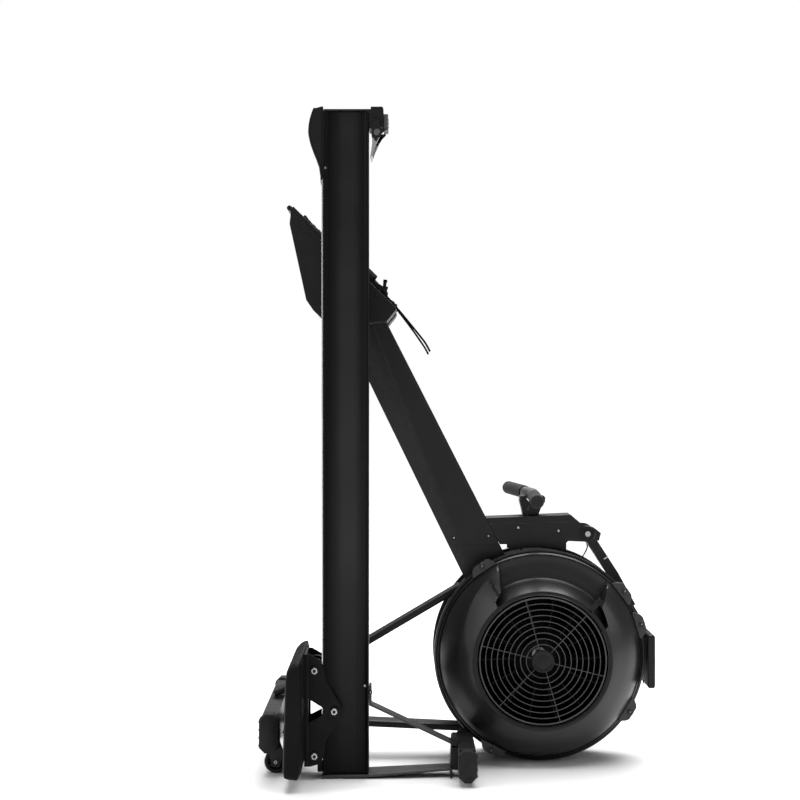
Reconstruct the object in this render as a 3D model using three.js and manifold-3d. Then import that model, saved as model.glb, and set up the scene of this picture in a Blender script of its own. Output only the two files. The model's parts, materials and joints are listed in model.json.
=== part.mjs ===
// Air rowing machine, taken apart into its two sections and stood upright for storage.
// The front section stands on its transport wheels and the flywheel housing; the monorail
// section, with the seat run down to its end, stands beside it.
// Millimetres, +Z up. Drawing coordinates: X = 0 and Y = 0 lie on the stored machine's plan,
// with Y = 0 the middle plane of the front section; PLAN_CENTRE moves the whole to its frame.
import * as THREE from "three";
import { mergeVertices } from "three/addons/utils/BufferGeometryUtils.js";
import Module from "manifold-3d";

const wasm = await Module();
wasm.setup();

// ---- driving dimensions -------------------------------------------------------------
const PLAN_CENTRE = { x: 129.3, y: -71 };
const GAP = 0.4; // air between pieces that touch
const WALL = 3; // sheet and moulding thickness

const AXLE = { x: 300, z: 227 }; // flywheel axis, parallel to Y
const RIM_R = 227;
const ROUND = 44; // facets round the housing
const BAND_R = 208;
const GRILLE_R = 134;
const NEAR = { flange: -70, rim: -82, face: -168 }; // Y of the near cover
const FAR = { flange: 38, rim: 50, face: 96 };

const BEAM = { half: 35, wall: 3, foot: 330, top: 1004 }; // half width along Y, and end heights
const RAIL = { y: -217, half: 37.5, seatSide: -157, legSide: -64, bottom: 9, top: 1366 };
const RAIL_WEB = { half: 30, edge: 7, shoulder: 3, wall: 3.5 }; // the recessed middle of the rail's profile
const SEAT = { low: 26, high: 265, top: -232, base: -196, half: 172 };
const ROLLER_R = 13.6;
const LEG_BAR = { x: 136, z: 41, half: 118 };
const FOOT_BAR = { x: -269, z: 90, half: 244 };
const CASTER = { x: -258, r: 24, y: 193, half: 10 };
const ARM_PIVOT = { x: 408, z: 484 };
const TILT_PIN = { x: 519, z: 262 };
const CROSS_TUBE = { x: -62, z: 972, r: 12 }; // carries the footrests through the beam
const HUB = { near: -72, far: -15 }; // ends of the fan's hub along Y
const MONITOR = { back: 531, front: 547, half: 95, low: 157, high: 271 };
// the handle's axis, its half length and radius, its light sleeve; angles in degrees
const HANDLE = { x: 294, z: 568, half: 200, r: 14.6, twist: 5.2, bend: 7, tilt: 1.5, sleeve: 52 };
const CHAIN_DROP = { x: 267 }; // where the chain passes through the band
const BOARD = { near: 165, inner: 46 }; // footrest reach from the middle plane

// ---- materials ----------------------------------------------------------------------
const finish = (color, roughness, metalness) =>
  new THREE.MeshStandardMaterial({ color, roughness, metalness });
const PAINT = finish(0x141416, 0.45, 0.2);
const MOULDING = finish(0x111113, 0.4, 0);
const RUBBER = finish(0x0c0c0d, 0.85, 0);
const FOAM = finish(0x121213, 0.95, 0);
const STEEL = finish(0xc9cacc, 0.3, 1);
const GREY_PLASTIC = finish(0xa9abad, 0.5, 0);
const WEBBING = finish(0x18181a, 0.9, 0);
const GLASS = finish(0x20262a, 0.15, 0);

// ---- geometry helpers ---------------------------------------------------------------
const radians = THREE.MathUtils.degToRad;

function outlineOf(points) {
  return new THREE.Shape(points.map(([u, v]) => new THREE.Vector2(u, v)));
}

// A prism of an X-Z outline between two Y values.
function prismY(points, low, high) {
  const g = new THREE.ExtrudeGeometry(outlineOf(points), { depth: high - low, bevelEnabled: false });
  return g.rotateX(Math.PI / 2).translate(0, high, 0);
}

// A prism of an X-Y outline between two Z values.
function prismZ(points, low, high) {
  const g = new THREE.ExtrudeGeometry(outlineOf(points), { depth: high - low, bevelEnabled: false });
  return g.translate(0, 0, low);
}

function box(x0, x1, y0, y1, z0, z1) {
  const g = new THREE.BoxGeometry(x1 - x0, y1 - y0, z1 - z0);
  return g.translate((x0 + x1) / 2, (y0 + y1) / 2, (z0 + z1) / 2);
}

// A cylinder along Y about (x, z).
function rodY(x, z, r, low, high, sides = 20) {
  const g = new THREE.CylinderGeometry(r, r, high - low, sides);
  return g.translate(x, (low + high) / 2, z);
}

// A ring or solid of revolution about the Y line through (x, z); the profile is [r, y].
function turnedY(x, z, profile, sides) {
  const closed = [...profile, profile[0]].map(([r, y]) => new THREE.Vector2(r, y));
  return new THREE.LatheGeometry(closed, sides).translate(x, 0, z);
}

// A box with rounded edges all round: a rounded outline in the X-Z plane with bevelled faces.
function softBoxY(x0, x1, y0, y1, z0, z1, radius, bevel) {
  const s = new THREE.Shape();
  const [a, b, c, d] = [x0 + bevel, x1 - bevel, z0 + bevel, z1 - bevel];
  s.moveTo(a + radius, c).lineTo(b - radius, c).quadraticCurveTo(b, c, b, c + radius);
  s.lineTo(b, d - radius).quadraticCurveTo(b, d, b - radius, d);
  s.lineTo(a + radius, d).quadraticCurveTo(a, d, a, d - radius);
  s.lineTo(a, c + radius).quadraticCurveTo(a, c, a + radius, c);
  const depth = y1 - y0 - 2 * bevel;
  const g = new THREE.ExtrudeGeometry(s, {
    depth, bevelSize: bevel, bevelThickness: bevel, bevelSegments: 2, curveSegments: 4,
  });
  return g.rotateX(Math.PI / 2).translate(0, y1 - bevel, 0);
}

// The outline of a flat bar of even thickness that follows a path in the X-Z plane.
function ribbon(path, thickness) {
  const side = (offset) =>
    path.map(([x, z], i) => {
      const [px, pz] = path[Math.max(i - 1, 0)];
      const [nx, nz] = path[Math.min(i + 1, path.length - 1)];
      const before = Math.atan2(z - pz, x - px);
      const after = Math.atan2(nz - z, nx - x);
      const first = i === 0 ? after : before;
      const last = i === path.length - 1 ? before : after;
      const mean = (first + last) / 2;
      const reach = offset / Math.cos((last - first) / 2);
      return [x - Math.sin(mean) * reach, z + Math.cos(mean) * reach];
    });
  return [...side(-thickness / 2), ...side(thickness / 2).reverse()];
}

function arc(x, z, r, from, to, steps) {
  return Array.from({ length: steps + 1 }, (_, i) => {
    const a = radians(from + ((to - from) * i) / steps);
    return [x + r * Math.cos(a), z + r * Math.sin(a)];
  });
}

function solid(geometry) {
  const g = geometry.clone();
  g.deleteAttribute("normal");
  g.deleteAttribute("uv");
  const merged = mergeVertices(g, 1e-3);
  const triVerts = new Uint32Array(merged.index.array);
  const vertProperties = merged.attributes.position.array;
  const build = () => new wasm.Manifold(new wasm.Mesh({ numProp: 3, vertProperties, triVerts }));
  const made = build();
  if (made.volume() > 0) return made;
  for (let i = 0; i < triVerts.length; i += 3) {
    [triVerts[i], triVerts[i + 1]] = [triVerts[i + 1], triVerts[i]];
  }
  return build();
}

function geometryOf(manifold) {
  const { vertProperties, triVerts } = manifold.getMesh();
  const g = new THREE.BufferGeometry();
  g.setAttribute("position", new THREE.BufferAttribute(new Float32Array(vertProperties), 3));
  g.setIndex(new THREE.BufferAttribute(new Uint32Array(triVerts), 1));
  const flat = g.toNonIndexed();
  flat.computeVertexNormals();
  return flat;
}

const join = (...geometries) => geometries.map(solid).reduce((a, b) => a.add(b));
const cut = (body, ...tools) => tools.map(solid).reduce((a, b) => a.subtract(b), body);

const machine = new THREE.Group();
machine.position.set(-PLAN_CENTRE.x, -PLAN_CENTRE.y, 0);

function piece(name, shape, material, parent = machine) {
  const geometry = geometryOf(shape.isBufferGeometry ? solid(shape) : shape);
  const mesh = new THREE.Mesh(geometry, material);
  mesh.name = name;
  parent.add(mesh);
}

const sides = [["near", -1], ["far", 1]];
// Low and high Y of a piece that lies between two distances from a middle plane.
const span = (sign, inner, outer, middle = 0) =>
  sign < 0 ? [middle - outer, middle - inner] : [middle + inner, middle + outer];

// ---- front section: beam, handle frame and legs ---------------------------------------
// The beam's two edges are lines in the X-Z plane; a point on one is found from its height.
const beamRight = (z) => 402.6 / 0.891 - (z * 0.454) / 0.891;
const beamLeft = (z) => beamRight(z) - THREE.MathUtils.mapLinear(z, 394, 938, 114, 101);

function beam() {
  const { foot, top, half, wall } = BEAM;
  const low = 17; // how much lower the right edge is cut than the left one at the top
  const outer = [
    [beamLeft(foot), foot], [beamRight(foot), foot],
    [beamRight(top - low), top - low], [beamLeft(top + low), top + low],
  ];
  const t = wall * 1.12; // the wall's width in a level cut
  const inner = [
    [beamLeft(foot - 9) + t, foot - 9], [beamRight(foot - 9) - t, foot - 9],
    [beamRight(top + 9) - t, top + 9], [beamLeft(top + 40) + t, top + 40],
  ];
  const tube = solid(prismY(outer, -half, half));
  const hollow = prismY(inner, wall - half, half - wall);
  const saddle = rodY(AXLE.x, AXLE.z, BAND_R + 1, -half - 1, half + 1, 64);
  const crossHole = rodY(CROSS_TUBE.x, CROSS_TUBE.z, CROSS_TUBE.r + 1, -40, 40, 24);
  return cut(tube, hollow, saddle, crossHole);
}

function handleFrame() {
  const near = 38;
  const rim = (from, to) => arc(AXLE.x, AXLE.z, RIM_R + 1, from, to, 8);
  const outer = [
    [beamRight(518) + GAP, 518], [372, 525], [386, 513], [398, 503],
    ...arc(ARM_PIVOT.x, ARM_PIVOT.z, 18, 80, -80, 10),
    [366, 468], [362, 464],
    ...rim(74.2, 106),
    [237, 461], [beamRight(461) + GAP, 461],
  ];
  const inner = [[150, 380], [150, 514], [372, 521], [378, 600], [450, 600], [450, 380]];
  const holes = [[257, 497], [345, 490]].map(([x, z]) => rodY(x, z, 4.5, -60, 60, 12));
  const pinHole = rodY(ARM_PIVOT.x, ARM_PIVOT.z, 7, -60, 60, 16);
  const chainSlot = box(HANDLE.x - 17, HANDLE.x + 13, -9, 9, 505, 540);
  const shell = solid(prismY(outer, -near, near));
  return cut(shell, prismY(inner, 4 - near, near - 4), pinHole, chainSlot, ...holes);
}

// A saddle block with a cradle for the bar, and a slot through which the chain runs.
function handleHook() {
  const { x, z } = HANDLE;
  const foot = 523.5;
  const outline = [
    [x - 25, foot], [x + 9, foot + 1], [x + 14, z - 30], [x + 23, z - 16], [x + 24, z - 6], [x + 21, z - 3],
    [x - 21, z - 3], [x - 31, z - 3], [x - 32, z - 14], [x - 28, z - 30],
  ];
  const cradle = rodY(x, z, 19, -60, 60, 24);
  return cut(solid(prismY(outline, -20, 20)), cradle, box(x - 10, x + 10, -6, 6, foot - 8, z + 5));
}

const STRUTS = {
  upper: { path: [[134, 367.6], [-244, 144.4], [-276, 133]], thickness: 14 },
  lower: { path: [[166, 57.5], [-57, 68], [-252.5, 77.3]], thickness: 14 },
};

function frontCrossbar() {
  const { x, z, half } = FOOT_BAR;
  const end = half - 34;
  const bar = box(x - 16, x + 16, -end, end, z - 31, z + 34);
  const bore = box(x - 16 + WALL, x + 16 - WALL, -end - 1, end + 1, z - 31 + WALL, z + 34 - WALL);
  const lugs = sides.flatMap(([, sign]) => {
    const [low, high] = span(sign, CASTER.y - CASTER.half - 4, CASTER.y + CASTER.half + 4);
    const cheek = [[x - 8, z], [x + 8, z], [CASTER.x + 15, 40], [CASTER.x + 8, 14], [CASTER.x - 8, 14]];
    return [
      prismY(cheek, low, low + WALL), prismY(cheek, high - WALL, high),
      rodY(CASTER.x, CASTER.r, 4, low + 1, high - 1, 12),
    ];
  });
  return cut(join(bar, ...lugs), bore);
}

function casterWheel(sign) {
  const { r, half } = CASTER;
  const y = sign * CASTER.y;
  const profile = [
    [5, y - half], [r - 3, y - half], [r, y - half + 3],
    [r, y + half - 3], [r - 3, y + half], [5, y + half],
  ];
  return turnedY(CASTER.x, r, profile, 28);
}

function frontFoot(sign) {
  const [low, high] = span(sign, FOOT_BAR.half - 33.5, FOOT_BAR.half + 3);
  return softBoxY(FOOT_BAR.x - 21, FOOT_BAR.x + 21, low, high, 49, 130, 8, 4);
}

// ---- front section: flywheel and its housing ------------------------------------------
// Height of the near cover over the flange, as [radius, y]: the full scroll and the recess.
const SCROLL = [
  [RIM_R, NEAR.rim], [219, -87], [213, -99], [192, -129], [166, -152], [148, -163], [140, NEAR.face],
];
const RECESS = [[RIM_R, NEAR.rim], [219, -84], [216, -90], [158, -95], [137, -166]];
const RECESS_FROM = 40;
const RECESS_TO = 115;

function coverSolid(inset) {
  const shrink = ([r, y]) => [r - inset, Math.min(y + inset, NEAR.flange)];
  const dome = SCROLL.map(shrink);
  const domeSolid = solid(turnedY(AXLE.x, AXLE.z, [
    [0, NEAR.flange], [dome[0][0], NEAR.flange], ...dome, [0, dome.at(-1)[1]],
  ], ROUND));
  // The recess takes away everything above its own profile inside a wedge.
  const floor = RECESS.map(shrink);
  const above = [...floor.slice(1), [floor.at(-1)[0], -200], [300, -200], [300, floor[1][1]]];
  const ring = solid(turnedY(AXLE.x, AXLE.z, above, ROUND));
  const wedge = [[AXLE.x, AXLE.z], ...arc(AXLE.x, AXLE.z, 320, RECESS_FROM - inset, RECESS_TO + inset, 6)];
  return domeSolid.subtract(ring.intersect(solid(prismY(wedge, -210, -60))));
}

function lug(angle, low, high) {
  const reach = RIM_R + 9;
  return prismY([
    ...arc(AXLE.x, AXLE.z, reach, angle - 4, angle + 4, 3),
    ...arc(AXLE.x, AXLE.z, RIM_R - 6, angle + 6.5, angle - 6.5, 2),
  ], low, high);
}

const LUGS = [17, 37, 123, 243, 328];

function nearCover() {
  const mouth = rodY(AXLE.x, AXLE.z, GRILLE_R + 3, -200, -60, ROUND);
  const shell = coverSolid(0).subtract(coverSolid(WALL));
  const flange = turnedY(AXLE.x, AXLE.z, [
    [BAND_R - WALL, -73], [RIM_R - 1, -73], [RIM_R - 1, NEAR.flange], [BAND_R - WALL, NEAR.flange],
  ], ROUND);
  const tabs = LUGS.map((angle) => lug(angle, -90, NEAR.flange));
  return cut(join(flange, ...tabs).add(shell), mouth);
}

function farCover() {
  const t = WALL;
  const profile = [
    [BAND_R - t, FAR.flange], [RIM_R, FAR.flange], [RIM_R, FAR.rim], [216, 58], [180, 84], [146, FAR.face],
    [GRILLE_R + t, FAR.face], [GRILLE_R + t, FAR.face - t], [145, FAR.face - t], [178, 81], [213, 55],
    [BAND_R - t, 44],
  ];
  const ring = solid(turnedY(AXLE.x, AXLE.z, profile, ROUND));
  return LUGS.reduce((body, angle) => body.add(solid(lug(angle, FAR.flange, FAR.rim + 8))), ring);
}

function band() {
  const ring = turnedY(AXLE.x, AXLE.z, [
    [BAND_R - WALL, NEAR.flange + GAP], [BAND_R, NEAR.flange + GAP],
    [BAND_R, FAR.flange - GAP], [BAND_R - WALL, FAR.flange - GAP],
  ], ROUND);
  return cut(solid(ring), box(CHAIN_DROP.x - 15, CHAIN_DROP.x + 15, -9, 9, 415, 450));
}

// A wire guard of rings and spokes with a hub plate, between two Y values.
function grille(rings, low, high, facets) {
  const wire = 2.6;
  const hub = 24;
  const pitch = (GRILLE_R - hub) / rings;
  const ring = (r) =>
    turnedY(AXLE.x, AXLE.z, [[r - wire, low], [r, low], [r, high], [r - wire, high]], facets);
  const hoops = Array.from({ length: rings }, (_, i) => ring(hub + pitch * (i + 1)));
  const spokes = Array.from({ length: 6 }, (_, i) => {
    const bar = box(hub - 4, GRILLE_R - 1, low + 0.4, high - 0.4, -1.3, 1.3);
    return bar.rotateY(-radians(46 + 60 * i)).translate(AXLE.x, 0, AXLE.z);
  });
  return join(rodY(AXLE.x, AXLE.z, hub, low, high, 24), ...hoops, ...spokes);
}

// A disc on a hub, with blades that step in where the near cover narrows.
function fanWheel() {
  const hub = turnedY(AXLE.x, AXLE.z, [
    [16, HUB.near], [34, HUB.near], [34, -36], [196, -34], [196, -29], [34, -27], [34, HUB.far], [16, HUB.far],
  ], 36);
  const count = 14;
  const outline = [[62, -32], [192, -32], [192, -78], [148, -80], [126, -136], [62, -136]];
  const blades = Array.from({ length: count }, (_, i) => {
    const blade = prismZ(outline, -1.2, 1.2);
    return blade.rotateY(-radians((360 / count) * i)).translate(AXLE.x, 0, AXLE.z);
  });
  return join(hub, ...blades);
}

function bearing(low, high) {
  return turnedY(AXLE.x, AXLE.z, [[8.4, low], [15.6, low], [15.6, high], [8.4, high]], 24);
}

function sprocket() {
  const teeth = 14;
  const outline = Array.from({ length: teeth * 4 }, (_, i) => {
    const r = i % 4 < 2 ? 33 : 28;
    const a = (Math.PI * 2 * i) / (teeth * 4);
    return [AXLE.x + r * Math.cos(a), AXLE.z + r * Math.sin(a)];
  });
  const boss = rodY(AXLE.x, AXLE.z, 18, HUB.far + GAP, 0, 24);
  return cut(join(prismY(outline, -2.5, 2.5), boss), rodY(AXLE.x, AXLE.z, 9, -30, 30, 24));
}

const CHAIN_R = 35;

// The chain leaves the handle, drops through the frame and wraps half of the sprocket.
function chain() {
  const top = [HANDLE.x, 551];
  const wrap = arc(AXLE.x, AXLE.z, CHAIN_R + 2, 180, 340, 14);
  const path = [top, [CHAIN_DROP.x + 5, 470], [AXLE.x - CHAIN_R - 2, 300], ...wrap];
  return prismY(ribbon(path, 3), -2, 2);
}

function damperLever() {
  // A slotted ring that closes the air inlet, with a finger tab that stands in the recess.
  const ring = turnedY(AXLE.x, AXLE.z, [[139.5, -172], [147, -172], [147, -169], [139.5, -169]], 48);
  const tab = box(145, 178, -172, -169, -5, 5);
  const knob = box(166, 178, -180, -170, -6, 6);
  const lever = join(tab, knob);
  const turned = geometryOf(lever).rotateY(-radians(47)).translate(AXLE.x, 0, AXLE.z);
  return join(ring, turned);
}

// ---- front section: monitor ------------------------------------------------------------
function monitorArm() {
  const knee = [506, 323];
  const upper = [[ARM_PIVOT.x, ARM_PIVOT.z], [468, 392], knee];
  const lower = [knee, [519, 300], [TILT_PIN.x, TILT_PIN.z + 10]];
  const ears = [[-20, -13.5], [13.5, 20]].map(([low, high]) =>
    prismY([[513, 300], [513, 262], ...arc(519, 262, 6, 180, 360, 6), [525, 300]], low, high));
  const body = join(
    prismY(ribbon(upper, 21), -20, 20), prismY(ribbon(lower, 12), -20, 20), ...ears,
    rodY(ARM_PIVOT.x, ARM_PIVOT.z, 15, -20, 20, 20),
  );
  const room = rodY(TILT_PIN.x, TILT_PIN.z, 11, -13.5, 13.5, 20);
  return cut(body, room, rodY(ARM_PIVOT.x, ARM_PIVOT.z, 7, -30, 30, 16));
}

// The sensor wire leaves the frame's channel beside the arm pivot and loops down to the band.
function sensorWire() {
  const route = [[384, 492], [398, 474], [411, 462], [415, 450], [410, 437], [401, 423], [394.5, 413]];
  const curve = new THREE.CatmullRomCurve3(route.map(([x, z]) => new THREE.Vector3(x, 27, z)));
  const section = outlineOf(arc(0, 0, 1.6, 0, 315, 7));
  return new THREE.ExtrudeGeometry(section, { extrudePath: curve, steps: 24, bevelEnabled: false });
}

const BUTTONS = [["menu_button", -30], ["select_button", 30]];

function monitorCase() {
  const { back, front, half, low, high } = MONITOR;
  const shell = softBoxY(back, front, -half, half, low, high, 3, 2.5);
  const knuckle = rodY(TILT_PIN.x, TILT_PIN.z, 7, -13, 13, 20);
  const tongue = box(TILT_PIN.x, back + 4, -13, 13, TILT_PIN.z - 7, TILT_PIN.z);
  const pin = rodY(TILT_PIN.x, TILT_PIN.z, 2.5, -20, 20, 10);
  const pockets = BUTTONS.map(([, y]) => box(front - 5, front + 5, y - 9, y + 9, 168, 180));
  const window = box(front - 1.5, front + 5, -60, 60, 193, 262);
  return cut(join(shell, knuckle, tongue), ...pockets, window);
}

// ---- front section: handle -------------------------------------------------------------
// The bar bends back by a few degrees on each side of the middle.
function handleHalves(r, from, to) {
  return sides.map(([, sign]) => {
    const g = new THREE.CylinderGeometry(r, r, to - from, 18);
    return g.translate(0, (sign * (from + to)) / 2, 0).rotateZ(sign * radians(HANDLE.bend));
  });
}

// The light sleeve on the middle of the bar, open at both ends.
function handleSleeve() {
  const outside = join(...handleHalves(13, -2, HANDLE.sleeve));
  return cut(outside, ...handleHalves(10.5, -3, HANDLE.sleeve + 5));
}

const handle = new THREE.Group();
handle.position.set(HANDLE.x, 0, HANDLE.z);
handle.rotation.set(radians(HANDLE.tilt), 0, radians(HANDLE.twist));

// ---- front section: footrests ------------------------------------------------------------
const PLATE = { heel: [-228, 1182], toe: [-8, 965] };
const SLOPE = Math.atan2(PLATE.toe[1] - PLATE.heel[1], PLATE.toe[0] - PLATE.heel[0]);
// A point on the footrest: distance along the plate from the heel end, height over its face.
const onPlate = (along, height) => [
  PLATE.heel[0] + along * Math.cos(SLOPE) - height * Math.sin(SLOPE),
  PLATE.heel[1] + along * Math.sin(SLOPE) + height * Math.cos(SLOPE),
];
const PLATE_LENGTH = Math.hypot(PLATE.toe[0] - PLATE.heel[0], PLATE.toe[1] - PLATE.heel[1]);

function footrest(sign) {
  const [low, high] = span(sign, BOARD.inner, BOARD.near);
  const outer = [
    PLATE.heel, [-232, 1145], [-197, 985], [-182, 963], [-163, 946], [-60, 937], [-27, 941], PLATE.toe,
  ];
  const inner = [
    [-250, 1195], [-260, 1150], [-205, 983], [-178, 969], [-161, 951], [-60, 942], [-30, 946],
    onPlate(PLATE_LENGTH - 8, -8), onPlate(8, -8),
  ];
  return cut(solid(prismY(outer, low, high)), prismY(inner, low + 4, high - 4));
}

function heelSlider(sign) {
  const [low, high] = span(sign, BOARD.inner + 14, BOARD.near - 14);
  const outline = [
    onPlate(31, 0.4), onPlate(150, 0.4), onPlate(150, 5), onPlate(44, 6), onPlate(38, 8), onPlate(31, 8),
  ];
  return prismY(outline, low, high);
}

// The strap arches over the plate, and its loose end runs on past the toe.
function footStrap(sign) {
  const middle = (sign * (BOARD.near + BOARD.inner)) / 2;
  const arch = (rise, half) =>
    Array.from({ length: 13 }, (_, i) => {
      const a = (Math.PI * i) / 12;
      return new THREE.Vector2(half * Math.cos(a), rise * Math.sin(a) + 0.4);
    });
  const shape = new THREE.Shape([...arch(40, 50), ...arch(36.5, 46.5).reverse()]);
  const band = new THREE.ExtrudeGeometry(shape, { depth: 38, bevelEnabled: false });
  // Local x across the foot, y off the plate, z along the plate.
  const [x, z] = onPlate(210, 0);
  const across = new THREE.Vector3(0, 1, 0);
  const off = new THREE.Vector3(-Math.sin(SLOPE), 0, Math.cos(SLOPE));
  const along = new THREE.Vector3().crossVectors(across, off);
  band.applyMatrix4(new THREE.Matrix4().makeBasis(across, off, along).setPosition(x, middle, z));
  return band;
}

function strapEnd(sign) {
  const middle = (sign * (BOARD.near + BOARD.inner)) / 2;
  const path = [onPlate(250, 10), onPlate(300, 7), onPlate(360, 1), onPlate(415, -4), onPlate(423, -12)];
  return prismY(ribbon(path, 2.5), middle - 13, middle + 13);
}

// ---- monorail section ----------------------------------------------------------------------
// An extrusion with a broad edge on each side, sloping shoulders and a hollow recessed middle.
function monorail() {
  const { y, half, seatSide, legSide, bottom, top } = RAIL;
  const { half: web, edge, shoulder, wall } = RAIL_WEB;
  const quarter = [[seatSide, half], [seatSide + edge, half], [seatSide + edge + shoulder, web]];
  const upper = [...quarter, ...quarter.map(([x, v]) => [seatSide + legSide - x, v]).reverse()];
  const outline = [...upper.map(([x, v]) => [x, y + v]), ...upper.reverse().map(([x, v]) => [x, y - v])];
  const bore = box(
    seatSide + wall, legSide - wall, y - web + wall, y + web - wall, bottom - 1, top + 1,
  );
  return cut(solid(prismZ(outline, bottom, top)), bore);
}

function rearLegPlate() {
  const side = [[-160, 0], [-62, 3], [104, 14], [104, 19], [-62, 8.4], [-160, 6.4]];
  const plan = [[-161, -254.5], [-62, -254.5], [110, -242], [110, -192], [-62, -179.5], [-161, -179.5]];
  return solid(prismY(side, -260, -170)).intersect(solid(prismZ(plan, -5, 30)));
}

function rearBrace() {
  const path = [[-61, 188], [-61, 148], [112, 66.5]];
  return prismY(ribbon(path, 5), RAIL.y - 20, RAIL.y + 20);
}

function rearCrossbar() {
  const { x, z, half } = LEG_BAR;
  const [low, high] = [RAIL.y - half + 30, RAIL.y + half - 30];
  const bar = box(x - 17, x + 17, low, high, z - 28, z + 29);
  const bore = box(x - 17 + WALL, x + 17 - WALL, low - 1, high + 1, z - 28 + WALL, z + 29 - WALL);
  return cut(join(bar, box(x - 30, x - 16, RAIL.y - 22, RAIL.y + 22, 14.5, 60)), bore);
}

function rearFoot(sign) {
  const [low, high] = span(sign, LEG_BAR.half - 29.5, LEG_BAR.half, RAIL.y);
  return softBoxY(LEG_BAR.x - 19, LEG_BAR.x + 19, low, high, 8, 74, 7, 4);
}

function topGuard() {
  const outline = [
    [-158, 1377], [-178, 1372], [-184, 1350], [-187, 1326], [-184, 1305], [-179, 1288],
    [-166, 1252], [-162.5, 1228], [-161, 1228], [-161, 1372], [-158, 1372],
  ];
  return prismY(outline, RAIL.y - 34, RAIL.y + 34);
}

const LOCK_PIN = { x: -49, z: 1343, r: 4 };

function lockBlock() {
  const outline = [
    [-156, 1367], [-156, 1371], [-60, 1371], [-60, 1376], [-36, 1376], [-34, 1372], [-34, 1336],
    [-42, 1331], [-63.5, 1331], [-63.5, 1367],
  ];
  return cut(solid(prismY(outline, RAIL.y - 34, RAIL.y + 34)),
    rodY(LOCK_PIN.x, LOCK_PIN.z, LOCK_PIN.r + 1, RAIL.y - 60, RAIL.y + 60, 16));
}

function lockPad() {
  const steps = [[-33.5, 1329], [-24, 1329], [-24, 1335], [-27, 1337], [-23, 1342], [-27, 1346],
    [-23, 1351], [-27, 1355], [-24, 1362], [-33.5, 1362]];
  return prismY(steps, RAIL.y - 26, RAIL.y + 26);
}

// A bail on both sides of the block, joined by a pin through it and a hooked cross tongue.
function lockLever() {
  const cheek = [[-54, 1350], [-44, 1350], [-36, 1322], [-44, 1308], [-52, 1290], [-58, 1273], [-61, 1273],
    [-57, 1300], [-58, 1330]];
  const cheeks = [-1, 1].map((sign) => prismY(cheek, ...span(sign, 35, 38, RAIL.y)));
  return join(
    ...cheeks, rodY(LOCK_PIN.x, LOCK_PIN.z, LOCK_PIN.r, RAIL.y - 36, RAIL.y + 36, 16),
    rodY(-53, 1323, 6, RAIL.y - 36, RAIL.y + 36, 16), rodY(-58.5, 1276, 2.5, RAIL.y - 36, RAIL.y + 36, 10),
  );
}

// ---- seat ------------------------------------------------------------------------------------
const CARRIAGE = { plate: 45, wall: 3 };
const TOP_ROLLERS = [["upper_roller_set", 223], ["lower_roller_set", 49]];
const GUIDE_ROLLER = { x: -134.2, z: 140, r: 12.2 };
const ROLLER_X = -160.6 - 0.3 - ROLLER_R;

function carriage() {
  const { plate, wall } = CARRIAGE;
  const outline = [
    [-195.5, 256], [-184, 256], [-163, 244], [-156, 226], [-150, 200], [-121, 152], [-117, 140], [-121, 128],
    [-150, 82], [-156, 48], [-162, 33], [-184, 27], [-195.5, 27],
  ];
  const window = [[-188, 166], [-156, 146], [-154, 138], [-156, 133], [-188, 116]];
  const body = solid(prismY(outline, RAIL.y - plate - wall, RAIL.y + plate + wall));
  const inside = box(-191, 0, RAIL.y - plate, RAIL.y + plate, 0, 300);
  const holes = TOP_ROLLERS.map(([, z]) => rodY(ROLLER_X, z, 5, -300, -100, 16));
  const guide = rodY(GUIDE_ROLLER.x, GUIDE_ROLLER.z, 5, -300, -100, 16);
  return cut(body, inside, prismY(window, -300, -100), guide, ...holes);
}

const BOLT_HEAD = 5;

// Two wheels on one axle bolt that runs on both edges of the track.
function rollerSet(z) {
  const outside = CARRIAGE.plate + CARRIAGE.wall + 0.5;
  const wheels = [-1, 1].map((sign) => rodY(ROLLER_X, z, ROLLER_R, ...span(sign, 23, 35, RAIL.y), 20));
  const heads = [-1, 1].map((sign) =>
    rodY(ROLLER_X, z, 8.5, ...span(sign, outside, outside + BOLT_HEAD, RAIL.y), 12));
  const axle = rodY(ROLLER_X, z, 4, RAIL.y - outside - 1, RAIL.y + outside + 1, 12);
  return join(axle, ...wheels, ...heads);
}

function guideRoller(sign) {
  const { x, z, r } = GUIDE_ROLLER;
  const outside = CARRIAGE.plate + CARRIAGE.wall + 0.5;
  return join(
    rodY(x, z, r, ...span(sign, RAIL_WEB.half + 1.5, RAIL.half - 0.5, RAIL.y), 24),
    rodY(x, z, 4, ...span(sign, RAIL_WEB.half + 2, outside + 1, RAIL.y), 16),
    rodY(x, z, 8.5, ...span(sign, outside, outside + BOLT_HEAD, RAIL.y), 12),
  );
}

function seatPad() {
  const { low, high, top, base, half } = SEAT;
  return softBoxY(top, base - GAP, RAIL.y - half, RAIL.y + half, low, high, 8, 7);
}

// ---- assembly --------------------------------------------------------------------------------
piece("main_beam", beam(), PAINT);
piece("handle_frame", handleFrame(), PAINT);
piece("handle_hook", handleHook(), MOULDING);
piece("front_leg_upper_strut", prismY(ribbon(STRUTS.upper.path, STRUTS.upper.thickness), -28, 28), PAINT);
piece("front_leg_lower_strut", prismY(ribbon(STRUTS.lower.path, STRUTS.lower.thickness), -28, 28), PAINT);
piece("front_crossbar", frontCrossbar(), PAINT);
piece("cross_tube", rodY(CROSS_TUBE.x, CROSS_TUBE.z, CROSS_TUBE.r, -45.6, 45.6, 24), STEEL);

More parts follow.
